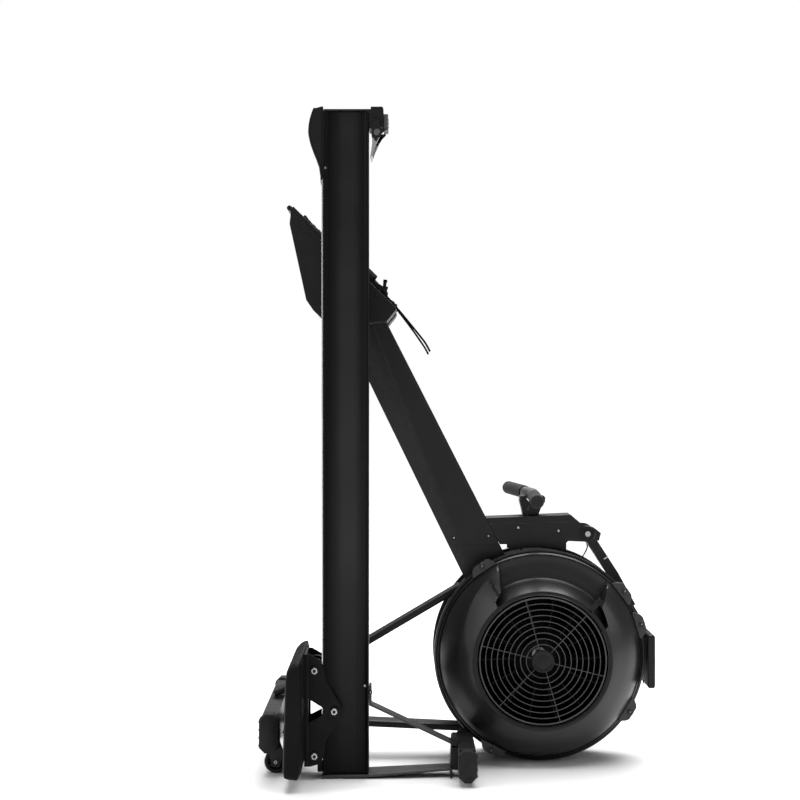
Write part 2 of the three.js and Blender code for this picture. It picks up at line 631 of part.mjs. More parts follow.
piece("housing_near_cover", nearCover(), MOULDING);
piece("housing_far_cover", farCover(), MOULDING);
piece("housing_band", band(), PAINT);
piece("near_grille", grille(9, -168, -164.5, 32).add(solid(rodY(AXLE.x, AXLE.z, 23, -175, -167, 28))), PAINT);
piece("far_grille", grille(4, FAR.face - 3, FAR.face, 28), PAINT);
piece("flywheel_axle", rodY(AXLE.x, AXLE.z, 8, -164, FAR.face - 3.4, 24), STEEL);
piece("fan_wheel", fanWheel(), PAINT);
piece("bearing_near", bearing(HUB.near, HUB.near + 12), STEEL);
piece("bearing_far", bearing(HUB.far - 12, HUB.far), STEEL);
piece("drive_sprocket", sprocket(), STEEL);
piece("drive_chain", chain(), STEEL);
piece("damper_lever", damperLever(), MOULDING);

piece("monitor_arm", monitorArm(), PAINT);
piece("arm_pivot_bolt", rodY(ARM_PIVOT.x, ARM_PIVOT.z, 6, -46, 46, 16), STEEL);
piece("sensor_wire", sensorWire(), RUBBER);
piece("monitor_case", monitorCase(), MOULDING);
piece("monitor_screen", box(MONITOR.front - 1.1, MONITOR.front + 0.4, -59.5, 59.5, 193.5, 261.5), GLASS);
for (const [name, y] of BUTTONS) {
  piece(name, box(MONITOR.front - 2.6, MONITOR.front + 1.6, y - 8.4, y + 8.4, 168.6, 179.4), RUBBER);
}

piece("handle_bar", join(...handleHalves(10, -2, HANDLE.half - 4)), STEEL, handle);
piece("handle_boss", handleSleeve(), GREY_PLASTIC, handle);
sides.forEach(([name], i) => {
  const sleeve = solid(handleHalves(HANDLE.r, HANDLE.sleeve + 8, HANDLE.half)[i]);
  piece(`handle_grip_${name}`, cut(sleeve, handleHalves(10.6, 0, HANDLE.half - 3)[i]), FOAM, handle);
});
machine.add(handle);

for (const [name, sign] of sides) {
  piece(`caster_wheel_${name}`, casterWheel(sign), RUBBER);
  piece(`front_foot_${name}`, frontFoot(sign), RUBBER);
  piece(`footrest_${name}`, footrest(sign), MOULDING);
  piece(`heel_slider_${name}`, heelSlider(sign), MOULDING);
  piece(`foot_strap_${name}`, footStrap(sign), WEBBING);
  piece(`strap_end_${name}`, strapEnd(sign), WEBBING);
  piece(`rear_foot_${name}`, rearFoot(sign), RUBBER);
  piece(`guide_roller_${name}`, guideRoller(sign), RUBBER);
}

piece("monorail", monorail(), PAINT);
piece("seat_track", box(-160.6, -157.4, RAIL.y - 36, RAIL.y + 36, 38, 1226), STEEL);
piece("rail_end_stop", box(-170, -157.4, RAIL.y - 20, RAIL.y + 20, 10, 33), RUBBER);
piece("rear_leg_plate", rearLegPlate(), PAINT);
piece("rear_leg_brace", rearBrace(), PAINT);
piece("rear_crossbar", rearCrossbar(), PAINT);
piece("top_guard", topGuard(), MOULDING);
piece("lock_block", lockBlock(), PAINT);
piece("lock_pad", lockPad(), GREY_PLASTIC);
piece("lock_lever", lockLever(), STEEL);

piece("seat_pad", seatPad(), FOAM);
piece("seat_carriage", carriage(), PAINT);
for (const [name, z] of TOP_ROLLERS) piece(name, rollerSet(z), RUBBER);

export default machine;
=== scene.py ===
# Air rowing machine, parted and stored upright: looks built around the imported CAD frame.
# Metres, +Z up. The near side of the machine is -Y, where the camera stands.
import json
import math
from collections import defaultdict

import bmesh
import bpy
from mathutils import Matrix, Vector

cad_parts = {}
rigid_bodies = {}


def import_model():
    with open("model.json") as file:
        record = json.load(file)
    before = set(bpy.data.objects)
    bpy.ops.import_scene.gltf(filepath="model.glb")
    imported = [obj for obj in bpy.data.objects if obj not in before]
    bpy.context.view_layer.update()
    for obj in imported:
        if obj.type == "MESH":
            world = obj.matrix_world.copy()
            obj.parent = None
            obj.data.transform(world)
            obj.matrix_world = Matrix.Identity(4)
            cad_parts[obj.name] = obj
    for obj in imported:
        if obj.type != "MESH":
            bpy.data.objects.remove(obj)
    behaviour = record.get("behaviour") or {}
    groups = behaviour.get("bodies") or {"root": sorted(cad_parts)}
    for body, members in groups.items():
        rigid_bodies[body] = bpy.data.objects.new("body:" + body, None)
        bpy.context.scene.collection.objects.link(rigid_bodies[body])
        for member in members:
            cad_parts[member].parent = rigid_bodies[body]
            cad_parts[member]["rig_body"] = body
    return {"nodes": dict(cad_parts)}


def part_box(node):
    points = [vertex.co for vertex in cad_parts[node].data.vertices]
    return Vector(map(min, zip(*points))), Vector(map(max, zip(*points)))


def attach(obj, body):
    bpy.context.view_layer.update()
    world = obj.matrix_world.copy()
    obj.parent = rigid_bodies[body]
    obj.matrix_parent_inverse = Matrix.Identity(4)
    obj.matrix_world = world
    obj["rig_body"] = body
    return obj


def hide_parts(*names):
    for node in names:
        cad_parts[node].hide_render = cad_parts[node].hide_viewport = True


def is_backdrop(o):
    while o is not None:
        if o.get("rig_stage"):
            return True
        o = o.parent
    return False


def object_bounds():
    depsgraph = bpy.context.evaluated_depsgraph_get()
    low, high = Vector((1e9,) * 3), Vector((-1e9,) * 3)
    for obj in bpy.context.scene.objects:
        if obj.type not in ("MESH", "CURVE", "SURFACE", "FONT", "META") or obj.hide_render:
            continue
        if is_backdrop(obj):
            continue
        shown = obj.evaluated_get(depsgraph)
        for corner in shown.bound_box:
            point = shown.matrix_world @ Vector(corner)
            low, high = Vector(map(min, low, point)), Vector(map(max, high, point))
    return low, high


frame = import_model()
CAD_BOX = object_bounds()
MM = 0.001

# ---- places taken from the frame ----


def low(node):
    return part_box(node)[0]


def high(node):
    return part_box(node)[1]


def middle(node):
    return (low(node) + high(node)) / 2


def at_y(point, y):
    """The same place along X and Z, at another Y."""
    return Vector((point.x, y, point.z))


AXLE = middle("flywheel_axle")
RAIL_Y = middle("monorail").y
RAIL_NEAR = low("monorail").y
FRONT_Y = middle("main_beam").y
SIDES = (("near", -1), ("far", 1))
FRONT, RAIL = "front_section", "rail_section"
X, Y, Z = Vector((1, 0, 0)), Vector((0, 1, 0)), Vector((0, 0, 1))

# ---- mesh helpers ----


def grid(bm, rows, close_row=False, close_rows=False, caps=False):
    """Faces between rows of points, with the first and last rows capped if asked."""
    verts = [[bm.verts.new(p) for p in row] for row in rows]
    count, width = len(rows), len(rows[0])
    for i in range(count if close_rows else count - 1):
        below, above = verts[i], verts[(i + 1) % count]
        for j in range(width if close_row else width - 1):
            k = (j + 1) % width
            bm.faces.new((below[j], below[k], above[k], above[j]))
    if caps:
        bm.faces.new(verts[0][::-1])
        bm.faces.new(verts[-1])


def lathe(bm, centre, profile, axis=Y, steps=48, closed=False):
    """Turns a profile of (radius, height in mm) about an axis through centre."""
    u = axis.orthogonal().normalized()
    v = axis.cross(u)
    rows = []
    for i in range(steps):
        a = math.tau * i / steps
        out = u * math.cos(a) + v * math.sin(a)
        rows.append([centre + (out * r + axis * h) * MM for r, h in profile])
    grid(bm, rows, close_row=closed, close_rows=True)


def prism(bm, outline, start, end):
    """A prism along Y of an outline in the XZ plane."""
    grid(bm, [[Vector((x, y, z)) for x, z in outline] for y in (start, end)], close_row=True, caps=True)


def block(bm, a, b):
    """A box between two corners."""
    prism(bm, [(a[0], a[2]), (b[0], a[2]), (b[0], b[2]), (a[0], b[2])], a[1], b[1])


def fillet(outline, radius, steps=4):
    """Rounds every corner of a closed outline, apart from the ones that are all but straight."""
    made = []
    count = len(outline)
    for i, corner in enumerate(outline):
        here = Vector(corner)
        back = Vector(outline[i - 1]) - here
        ahead = Vector(outline[(i + 1) % count]) - here
        turn = back.angle(ahead)
        if turn > math.radians(177):
            made.append(tuple(here))
            continue
        reach = min(radius / math.tan(turn / 2), back.length * 0.48, ahead.length * 0.48)
        first, last = here + back.normalized() * reach, here + ahead.normalized() * reach
        for s in range(steps + 1):
            t = s / steps
            made.append(tuple(first * (1 - t) ** 2 + here * 2 * t * (1 - t) + last * t * t))
    return made


def smooth_path(points, steps=6):
    """A Catmull-Rom curve through the points."""
    pts = [Vector(p) for p in points]
    pts = [pts[0] * 2 - pts[1], *pts, pts[-1] * 2 - pts[-2]]
    made = []
    for a, b, c, d in zip(pts, pts[1:], pts[2:], pts[3:]):
        for s in range(steps):
            t = s / steps
            made.append(0.5 * (2 * b + (c - a) * t + (2 * a - 5 * b + 4 * c - d) * t * t
                               + (3 * b - a - 3 * c + d) * t ** 3))
    return [*made, pts[-2]]


def sweep(bm, path, section, side=Y, closed=False):
    """Carries a section of (across, up) in metres along a path; side is its across direction."""
    rows = []
    count = len(path)
    for i, point in enumerate(path):
        if closed:
            along = path[(i + 1) % count] - path[i - 1]
        else:
            along = path[min(i + 1, count - 1)] - path[max(i - 1, 0)]
        along.normalize()
        across = (side - along * side.dot(along)).normalized()
        up = along.cross(across)
        rows.append([point + across * a + up * b for a, b in section])
    grid(bm, rows, close_row=True, close_rows=closed, caps=not closed)


def circle(radius, sides=10):
    return [(radius * math.cos(math.tau * i / sides), radius * math.sin(math.tau * i / sides))
            for i in range(sides)]


def rounded_rect(width, height, radius, steps=4):
    w, h = width / 2, height / 2
    return fillet([(-w, -h), (w, -h), (w, h), (-w, h)], radius, steps)


def rounded_pin(radius, start, end, edge):
    """Profile of a turned pin in mm, with rounded rims, closed on the axis."""
    return [(0, start), (radius - edge, start), (radius - edge * 0.3, start + edge * 0.3),
            (radius, start + edge), (radius, end - edge), (radius - edge * 0.3, end - edge * 0.3),
            (radius - edge, end), (0, end)]


def hoop(bm, centre, radius, wire, steps=96, sides=8, axis=Y):
    """A ring of round wire, sizes in mm."""
    lathe(bm, centre, [(radius + wire * a, wire * b) for a, b in circle(1, sides)], axis, steps, closed=True)


def plank(bm, path, width, thickness, radius, side=Y):
    """A flat bar that follows a path, with rounded edges, sizes in mm."""
    sweep(bm, path, rounded_rect(width * MM, thickness * MM, radius * MM), side)


# ---- pieces ----
LOOKS = {}


def polish(ob, bevel, segments, sharp):
    """Smooth shading up to an angle, and a bevel on the edges past it if asked."""
    mesh = ob.data
    mesh.polygons.foreach_set("use_smooth", [True] * len(mesh.polygons))
    mesh.set_sharp_from_angle(angle=math.radians(sharp))
    if bevel:
        edge = ob.modifiers.new("Edges", "BEVEL")
        edge.width = bevel * MM
        edge.segments = segments
        edge.limit_method = "ANGLE"
        edge.angle_limit = math.radians(sharp)
        edge.miter_outer = "MITER_ARC"
        edge.harden_normals = True
        ob.modifiers.new("Normals", "WEIGHTED_NORMAL").keep_sharp = True


def add_piece(name, bm, body, look, node=None, bevel=0.0, segments=2, sharp=32):
    """Makes the built mesh a piece that rides on a body and can stand for a CAD node."""
    bmesh.ops.remove_doubles(bm, verts=bm.verts, dist=1e-6)
    bmesh.ops.dissolve_degenerate(bm, edges=bm.edges, dist=1e-7)
    bmesh.ops.recalc_face_normals(bm, faces=bm.faces)
    mesh = bpy.data.meshes.new(name)
    bm.to_mesh(mesh)
    bm.free()
    ob = bpy.data.objects.new(name, mesh)
    bpy.context.scene.collection.objects.link(ob)
    material, slot = LOOKS[look]
    mesh.materials.append(material)
    polish(ob, bevel, segments, sharp)
    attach(ob, body)
    if node:
        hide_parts(node)
    return ob


def body_of(node):
    return frame["nodes"][node]["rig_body"]


def cad_mesh(node):
    """The CAD node's faces as clean polygons: seams welded and flat areas joined."""
    bm = bmesh.new()
    bm.from_mesh(frame["nodes"][node].data)
    bmesh.ops.remove_doubles(bm, verts=bm.verts, dist=2e-6)
    bmesh.ops.dissolve_limit(bm, angle_limit=math.radians(0.6), verts=bm.verts, edges=bm.edges)
    return bm


def refined(node, look, bevel, segments):
    """A CAD node with its edges rounded over, in a mesh of its own."""
    add_piece(f"{node}_skin", cad_mesh(node), body_of(node), look, node, bevel, segments)


def kept(node, look):
    """A CAD node that is shown as it is, with a material."""
    mesh = frame["nodes"][node].data
    mesh.materials.clear()
    mesh.materials.append(LOOKS[look][0])


# ---- materials ----


class Shader:
    """A Principled material with object coordinates and small helpers for its nodes."""

    def __init__(self, name, roughness, metallic=0.0):
        self.material = bpy.data.materials.new(name)
        self.material.use_nodes = True
        self.tree = self.material.node_tree
        self.bsdf = self.tree.nodes["Principled BSDF"]
        self.bsdf.inputs["Roughness"].default_value = roughness
        self.bsdf.inputs["Metallic"].default_value = metallic
        self.place = self.node("ShaderNodeTexCoord").outputs["Object"]

    def node(self, kind, inputs=(), **settings):
        """A node with its settings, and plain values on its named inputs."""
        made = self.tree.nodes.new(kind)
        for key, value in settings.items():
            setattr(made, key, value)
        for key, value in dict(inputs).items():
            made.inputs[key].default_value = value
        return made

    def link(self, output, target):
        self.tree.links.new(output, target)

    def fed(self, value, kind, output, inputs, target="Vector", **settings):
        """The output of a new node that a value is linked to."""
        made = self.node(kind, inputs, **settings)
        self.link(value, made.inputs[target])
        return made.outputs[output]

    def stretched(self, scale):
        return self.fed(self.place, "ShaderNodeMapping", "Vector", {"Scale": scale})

    def noise(self, scale, detail=3.0, place=None):
        inputs = {"Scale": scale, "Detail": detail, "Roughness": 0.55}
        return self.fed(place or self.place, "ShaderNodeTexNoise", "Fac", inputs)

    def cells(self, scale, feature="DISTANCE_TO_EDGE"):
        return self.fed(self.place, "ShaderNodeTexVoronoi", "Distance", {"Scale": scale}, feature=feature)

    def wave(self, scale, direction):
        return self.fed(self.place, "ShaderNodeTexWave", "Fac", {"Scale": scale}, wave_type="BANDS",
                        bands_direction=direction)

    def spread(self, value, out_low, out_high, in_low=0.3, in_high=0.7):
        inputs = {"From Min": in_low, "From Max": in_high, "To Min": out_low, "To Max": out_high}
        return self.fed(value, "ShaderNodeMapRange", "Result", inputs, "Value")

    def combine(self, a, b, operation="MULTIPLY"):
        maths = self.node("ShaderNodeMath", operation=operation)
        self.link(a, maths.inputs[0])
        self.link(b, maths.inputs[1])
        return maths.outputs["Value"]

    def tint(self, value, dark, light):
        ramp = self.node("ShaderNodeValToRGB")
        ramp.color_ramp.elements[0].position = 0.3
        ramp.color_ramp.elements[1].position = 0.7
        ramp.color_ramp.elements[0].color = (*dark, 1)
        ramp.color_ramp.elements[1].color = (*light, 1)
        self.link(value, ramp.inputs["Fac"])
        return ramp.outputs["Color"]

    def colour(self, value, dark, light, worn=None):
        """Base colour between two tones, with edges lightened where they wear."""
        base = self.tint(value, dark, light)
        if worn:
            point = self.node("ShaderNodeNewGeometry").outputs["Pointiness"]
            edge = self.spread(point, 0.0, 0.55, 0.53, 0.62)
            broken = self.combine(edge, self.noise(90, 4))
            mix = self.node("ShaderNodeMix", data_type="RGBA")
            self.link(broken, mix.inputs["Factor"])
            self.link(base, mix.inputs["A"])
            mix.inputs["B"].default_value = (*worn, 1)
            base = mix.outputs["Result"]
        self.link(base, self.bsdf.inputs["Base Color"])

    def rough(self, value, smallest, largest):
        self.link(self.spread(value, smallest, largest), self.bsdf.inputs["Roughness"])

    def bump(self, value, strength, distance=0.0006):
        inputs = {"Strength": strength, "Distance": distance}
        self.link(self.fed(value, "ShaderNodeBump", "Normal", inputs, "Height"), self.bsdf.inputs["Normal"])

    def set(self, **values):
        for key, value in values.items():
            self.bsdf.inputs[key.replace("_", " ")].default_value = value


def grey(level):
    return (level, level, level)


def powder_coat(name, level, gloss=0.26):
    s = Shader(name, 0.45)
    s.colour(s.noise(7, 3), grey(level * 0.85), grey(level * 1.2), worn=grey(0.04))
    s.rough(s.noise(40, 3), 0.38, 0.5)
    s.bump(s.noise(1500, 2), 0.12, 0.0003)
    s.set(Specular_IOR_Level=gloss)
    return s.material


def anodised(name, level):
    """A drawn bar along Z, with painted shade that darkens its colour and reflection towards its edges across
    X and towards its lower end.
    """
    s = Shader(name, 0.42)
    fine = s.noise(900, 2, place=s.stretched((1, 1, 0.02)))
    centre = middle("monorail").x + 4 * MM
    split = s.node("ShaderNodeSeparateXYZ")
    s.link(s.place, split.inputs["Vector"])
    offset = s.node("ShaderNodeMath", operation="SUBTRACT")
    s.link(split.outputs["X"], offset.inputs[0])
    offset.inputs[1].default_value = centre
    away = s.node("ShaderNodeMath", operation="ABSOLUTE")
    s.link(offset.outputs["Value"], away.inputs[0])
    # painted shade: darker from 12 mm off the middle out to the rail's edges
    shade_across = s.spread(away.outputs["Value"], 1.0, 0.0, 12 * MM, 44 * MM)
    # painted shade: also darker towards the rail's lower end
    painted_shade = s.combine(shade_across, s.spread(split.outputs["Z"], 0.25, 1.0, 0.0, 0.55))
    s.colour(s.combine(painted_shade, s.noise(4, 2)), grey(level * 0.45), grey(level * 1.5), worn=grey(0.02))
    s.rough(fine, 0.36, 0.48)
    s.bump(fine, 0.06, 0.0002)
    # the painted shade also lowers the reflection towards the edges and the lower end
    s.link(s.spread(painted_shade, 0.05, 0.3, 0, 1), s.bsdf.inputs["Specular IOR Level"])
    return s.material


def moulding(name, level, smallest, largest, grain=900, depth=0.1, gloss=0.22):
    s = Shader(name, smallest)
    s.colour(s.noise(5, 3), grey(level * 0.85), grey(level * 1.2), worn=grey(0.025))
    s.rough(s.noise(25, 4), smallest, largest)
    s.bump(s.noise(grain, 2), depth, 0.0003)
    s.set(Specular_IOR_Level=gloss)
    return s.material


def rubber(name, level):
    s = Shader(name, 0.7)
    s.colour(s.noise(12, 4), grey(level * 0.75), grey(level * 1.3))
    s.rough(s.noise(60, 3), 0.58, 0.78)
    s.bump(s.combine(s.noise(700, 3), s.noise(90, 2), "ADD"), 0.2, 0.0004)
    s.set(Specular_IOR_Level=0.3)
    return s.material


def foam(name, level):
    s = Shader(name, 0.85)
    pores = s.cells(900, "F1")
    s.colour(s.noise(30, 4), grey(level * 0.75), grey(level * 1.25))
    s.rough(pores, 0.75, 0.95)
    s.bump(s.combine(pores, s.noise(350, 3), "ADD"), 0.35, 0.0006)
    s.set(Sheen_Weight=0.08, Sheen_Roughness=0.5, Specular_IOR_Level=0.3)
    return s.material


def seat_skin(name, level):
    s = Shader(name, 0.55)
    grain = s.cells(420)
    s.colour(s.noise(9, 4), grey(level * 0.8), grey(level * 1.25))
    s.rough(s.noise(35, 3), 0.5, 0.66)
    s.bump(s.combine(s.spread(grain, 0, 1, 0.0, 0.25), s.noise(160, 3), "ADD"), 0.25, 0.0005)
    s.set(Specular_IOR_Level=0.08)
    return s.material


def webbing(name, level):
    s = Shader(name, 0.85)
    warp, weft = s.wave(130, "Y"), s.wave(90, "DIAGONAL")
    weave = s.combine(warp, weft)
    s.colour(weave, grey(level * 0.6), grey(level * 1.7))
    s.rough(weave, 0.9, 0.72)
    s.bump(weave, 0.4, 0.0005)
    s.set(Specular_IOR_Level=0.04)
    return s.material


def steel(name, level, smallest, largest, stretch=(1, 1, 1)):
    s = Shader(name, smallest, 1.0)
    lines = s.noise(500, 3, place=s.stretched(stretch))
    s.colour(s.noise(18, 3), grey(level * 0.88), grey(level * 1.05))
    s.rough(lines, smallest, largest)
    s.bump(lines, 0.08, 0.0002)
    return s.material


def window_glass(name):
    s = Shader(name, 0.08)
    s.colour(s.noise(30, 2), (0.010, 0.013, 0.014), (0.016, 0.02, 0.021))
    s.rough(s.noise(80, 3), 0.05, 0.12)
    s.set(Coat_Weight=0.6, Coat_Roughness=0.04)
    return s.material


def make_looks():
    LOOKS.update({
        "paint": (powder_coat("powder_coat", 0.0085), "frame_paint"),
        "black": (powder_coat("black_coat", 0.0035, 0.14), "frame_paint"),
        # the frame paint made lighter as painted light, for the rear leg plate and brace where light falls
        # strongly on them
        "strut": (powder_coat("strut_coat_painted_light", 0.045, 0.4), "frame_paint"),
        "rail": (anodised("anodised_rail", 0.0095), "rail_anodised"),
        "cover": (moulding("cover_plastic", 0.011, 0.32, 0.36, 1200, 0.04, 0.5), "cover_plastic"),
        "moulding": (moulding("moulded_plastic", 0.0075, 0.36, 0.5), "moulded_plastic"),
        "wire": (powder_coat("coated_wire", 0.075), "wire_guard"),
        "rubber": (rubber("black_rubber", 0.0065), "rubber"),
        "foam": (foam("grip_foam", 0.013), "grip_foam"),
        "seat": (seat_skin("seat_skin", 0.0055), "seat_skin"),
        "steel": (steel("brushed_steel", 0.62, 0.22, 0.38, (1, 0.03, 1)), "steel"),
        "chrome": (steel("plated_bolt", 0.42, 0.2, 0.32), "steel"),
        "grey": (moulding("grey_plastic", 0.09, 0.45, 0.6), "grey_plastic"),
        # the fan's paint darkened past the other black parts, as painted shade for the dark inside of the
        # housing
        "dim": (powder_coat("fan_coat_painted_shade", 0.002, 0.06), "frame_paint"),
        "webbing": (webbing("webbing", 0.006), "webbing"),
        "glass": (window_glass("screen_glass"), "screen_glass"),
        "cable": (moulding("cable_jacket", 0.012, 0.4, 0.5, 400, 0.15), "cable_jacket"),
    })


make_looks()

# ---- stage, light and camera ----
CAMERA_AT = (-0.1293, -3.584, 0.775)
CAMERA_LENS = 74.8


def make_camera():
    data = bpy.data.cameras.new("camera")
    data.lens = CAMERA_LENS
    data.sensor_width = 36
    camera = bpy.data.objects.new("camera", data)
    camera.location = CAMERA_AT
    camera.rotation_euler = (math.radians(90), 0, 0)
    bpy.context.scene.collection.objects.link(camera)
    bpy.context.scene.camera = camera


def make_floor():
    bm = bmesh.new()
    bmesh.ops.create_grid(bm, x_segments=8, y_segments=8, size=60)
    mesh = bpy.data.meshes.new("floor")
    bm.to_mesh(mesh)
    bm.free()
    floor = bpy.data.objects.new("floor", mesh)
    floor.location.z = -0.0005
    bpy.context.scene.collection.objects.link(floor)
    s = Shader("floor_paper", 0.75)
    s.colour(s.noise(3, 2), grey(0.95), grey(0.97))
    s.bump(s.noise(300, 2), 0.03)
    mesh.materials.append(s.material)
    floor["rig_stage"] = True


def make_world():
    """White to the camera, and a dimmer room for everything else."""
    seen, cast = 1.0, 0.1  # brightness to the camera, and to the rest
    world = bpy.data.worlds.new("studio")
    world.use_nodes = True
    tree = world.node_tree
    shade = tree.nodes["Background"]
    path = tree.nodes.new("ShaderNodeLightPath")
    strength = tree.nodes.new("ShaderNodeMapRange")
    strength.inputs["To Min"].default_value = cast
    strength.inputs["To Max"].default_value = seen
    tree.links.new(path.outputs["Is Camera Ray"], strength.inputs["Value"])
    tree.links.new(strength.outputs["Result"], shade.inputs["Strength"])
    shade.inputs["Color"].default_value = (1, 1, 1, 1)
    bpy.context.scene.world = world


def area_light(name, at, aim, size, power):
    data = bpy.data.lights.new(name, "AREA")
    data.shape = "RECTANGLE"
    data.size, data.size_y = size
    data.energy = power
    light = bpy.data.objects.new(name, data)
    light.location = at
    light.rotation_euler = (Vector(aim) - Vector(at)).to_track_quat("-Z", "Y").to_euler()
    bpy.context.scene.collection.objects.link(light)


def make_lights():
    sky = bpy.data.lights.new("ceiling", "SUN")
    sky.energy = 3.5
    sky.angle = math.radians(60)
    ceiling = bpy.data.objects.new("ceiling", sky)
    ceiling.rotation_euler = (math.radians(-8), math.radians(6), 0)
    bpy.context.scene.collection.objects.link(ceiling)
    area_light("left_strip", (-3.2, -1.6, 1.6), (0, 0, 0.8), (0.9, 2.6), 24)
    area_light("upper_left", (-2.1, -1.0, 2.6), (0.1, 0, 0.4), (1.0, 1.0), 14)
    area_light("right_strip", (3.0, -1.2, 1.9), (0, 0, 0.6), (0.8, 2.4), 18)
    area_light("front_fill", (0.5, -4.6, 2.6), (0, 0, 0.6), (2.6, 1.6), 6)
    area_light("back_light", (0.3, 2.6, 3.0), (0, 0, 0.4), (3.4, 1.6), 120)


make_camera()
make_floor()
make_world()
make_lights()
bpy.context.scene.view_settings.view_transform = "Standard"


# ---- housing ----
RIM = (high("housing_band").x - low("housing_band").x) / 2 / MM + 19  # outer radius of both covers, mm
MOUTH = (high("near_grille").x - low("near_grille").x) / 2 / MM + 3  # radius of the air inlet
FLANGE = high("housing_near_cover").y
DEPTH = (FLANGE - low("housing_near_cover").y) / MM  # height of the near cover over its flange
FAR_FLANGE, FAR_FACE = low("housing_far_cover").y, high("housing_far_cover").y

# Near cover: (radius, height over the flange) from rim to inlet, as the full dome and as the recess.
LIPS = [(RIM - 0.5, 0), (RIM, 1), (RIM, 9.5), (RIM - 1, 11.5), (RIM - 4.5, 12.4), (RIM - 5.6, 10.6),
        (RIM - 6.6, 12.6), (RIM - 8, 17.5), (RIM - 10, 19.2), (RIM - 11.3, 17.6), (RIM - 12.4, 20)]
DOME = [(RIM - 15, 29), (RIM - 24, 45), (RIM - 35, 59), (RIM - 47, 71), (RIM - 60, 81), (RIM - 71, 88.5),
        (RIM - 79, 93), (MOUTH + 6, DEPTH - 1.5), (MOUTH + 2.5, DEPTH), (MOUTH + 0.6, DEPTH - 1),
        (MOUTH, DEPTH - 4)]
HOLLOW = [(RIM - 14, 20.2), (RIM - 27, 21.2), (RIM - 42, 23.4), (RIM - 54, 25), (RIM - 60, 27),
          (RIM - 64.5, 34), (RIM - 70, 49), (RIM - 77, 67), (MOUTH + 5, 85), (MOUTH + 1.8, DEPTH - 3),
          (MOUTH, DEPTH - 5)]
# the recess's two sides in degrees, for each point of HOLLOW
HOLLOW_EDGES = [(115, 47), (115.5, 46.5), (117, 45), (119, 43), (121, 41.5), (129, 28), (130, 27),
                *[(130, 26)] * 4]
LUGS = (17, 37, 123, 243, 328)  # angles of the screw lugs
LUG_SCREW = RIM + 1.5  # radius at which their screws stand
LUG_DEEP = 19 * MM
HUB = 24  # radius of the guards' hub plates


def polar(angle, radius, y):
    """A point at an angle and radius (mm) about the axle, angles counted from +X towards +Z."""
    a = math.radians(angle)
    return Vector((AXLE.x + radius * MM * math.cos(a), y, AXLE.z + radius * MM * math.sin(a)))


def resample(points, count):
    """The same profile with points at even steps of its own index, on a smooth curve."""
    curve = smooth_path([(r, h, 0) for r, h in points], 12)
    return [curve[round(i * (len(curve) - 1) / (count - 1))] for i in range(count)]


def recess_sides(share):
    """Angles of the recess's left and right walls, from rim (0) to inlet (1)."""
    place = share * (len(HOLLOW_EDGES) - 1)
    i = min(int(place), len(HOLLOW_EDGES) - 2)
    (l0, r0), (l1, r1) = HOLLOW_EDGES[i], HOLLOW_EDGES[i + 1]
    return l0 + (l1 - l0) * (place - i), r0 + (r1 - r0) * (place - i)


def collar_slope(angle):
    """Fall per mm of radius of the collar that runs on past the recess's left wall and fades out."""
    start, fade, end = 124, 188, 215
    if angle < start or angle > end:
        return 0.0
    if angle < fade:
        return 0.76 - 0.26 * (angle - 132) / 53
    return 0.485 * (1 - (angle - fade) / (end - fade))


def cover_columns():
    """Each column's turn (0-1 inside the recess, 1-2 outside), shift in degrees and share of the recess."""
    wall = 0.55  # half the width of a recess wall, degrees
    columns = [(0, -wall, 0.0), (0, -wall * 0.5, 0.06), (0, wall * 0.5, 0.94)]
    columns += [(i / 40, wall * (1 - i / 20), 1.0) for i in range(41)]
    columns += [(1, -wall * 0.5, 0.94), (1, wall * 0.5, 0.06)]
    return columns + [(1 + i / 240, wall * (1 - i / 120), 0.0) for i in range(240)]


def near_cover():
    """The scroll-shaped shell, whose recess is a second profile between two steep walls."""
    fine = 61  # points along each profile
    dome, hollow = resample(DOME, fine), resample(HOLLOW, fine)
    rows = []
    for turn, shift, share in cover_columns():
        row = []
        for i in range(-len(LIPS), fine):
            left, right = recess_sides(max(i, 0) / (fine - 1))
            span = left - right
            angle = right + shift + (span * turn if turn <= 1 else span + (360 - span) * (turn - 1))
            if i < 0:
                r, h = LIPS[i]
            else:
                r, h, _ = dome[i].lerp(hollow[i], share)
                h = min(h, DEPTH + 1 - (r - MOUTH) * collar_slope(angle))
            row.append(polar(angle, r, FLANGE - h * MM))
        rows.append(row)
    bm = bmesh.new()
    grid(bm, rows, close_rows=True)
    shell = add_piece("housing_near_shell", bm, FRONT, "cover", "housing_near_cover", sharp=40)
    thick = shell.modifiers.new("Wall", "SOLIDIFY")
    thick.thickness = 2.4 * MM
    thick.offset = -1


def lug(bm, angle, start, end):
    """A screw lug that stands out of the rim, widest at the rim."""
    flank = [(8.4, RIM - 9), (5.2, RIM + 5), (3.6, RIM + 9)]  # (degrees from its middle, radius)
    outline = [(angle - a, r) for a, r in flank] + [(angle, RIM + 9.4)]
    outline += [(angle + a, r) for a, r in reversed(flank)]
    flat = [(p.x, p.z) for p in (polar(a, r, 0) for a, r in outline)]
    prism(bm, fillet(flat, 3 * MM, 3), start, end)


def cover_lugs():
    near, far = bmesh.new(), bmesh.new()
    for angle in LUGS:
        lug(near, angle, FLANGE - LUG_DEEP, FLANGE - 0.2 * MM)
        lathe(near, polar(angle, LUG_SCREW, FLANGE - LUG_DEEP), rounded_pin(7.2, -1.8, 2, 1.2), Y, 28)
        lug(far, angle, FAR_FLANGE + 0.2 * MM, FAR_FLANGE + LUG_DEEP)
        fastener(FRONT, polar(angle, LUG_SCREW, FLANGE - LUG_DEEP - 1.8 * MM), -Y, 2.4, 1.8)
        fastener(FRONT, polar(angle, LUG_SCREW, FAR_FLANGE + LUG_DEEP + 0.4 * MM), Y, 2.4, 1.8)
    add_piece("housing_near_lugs", near, FRONT, "cover", bevel=1.6, segments=3)
    add_piece("housing_far_lugs", far, FRONT, "cover", bevel=1.6, segments=3)


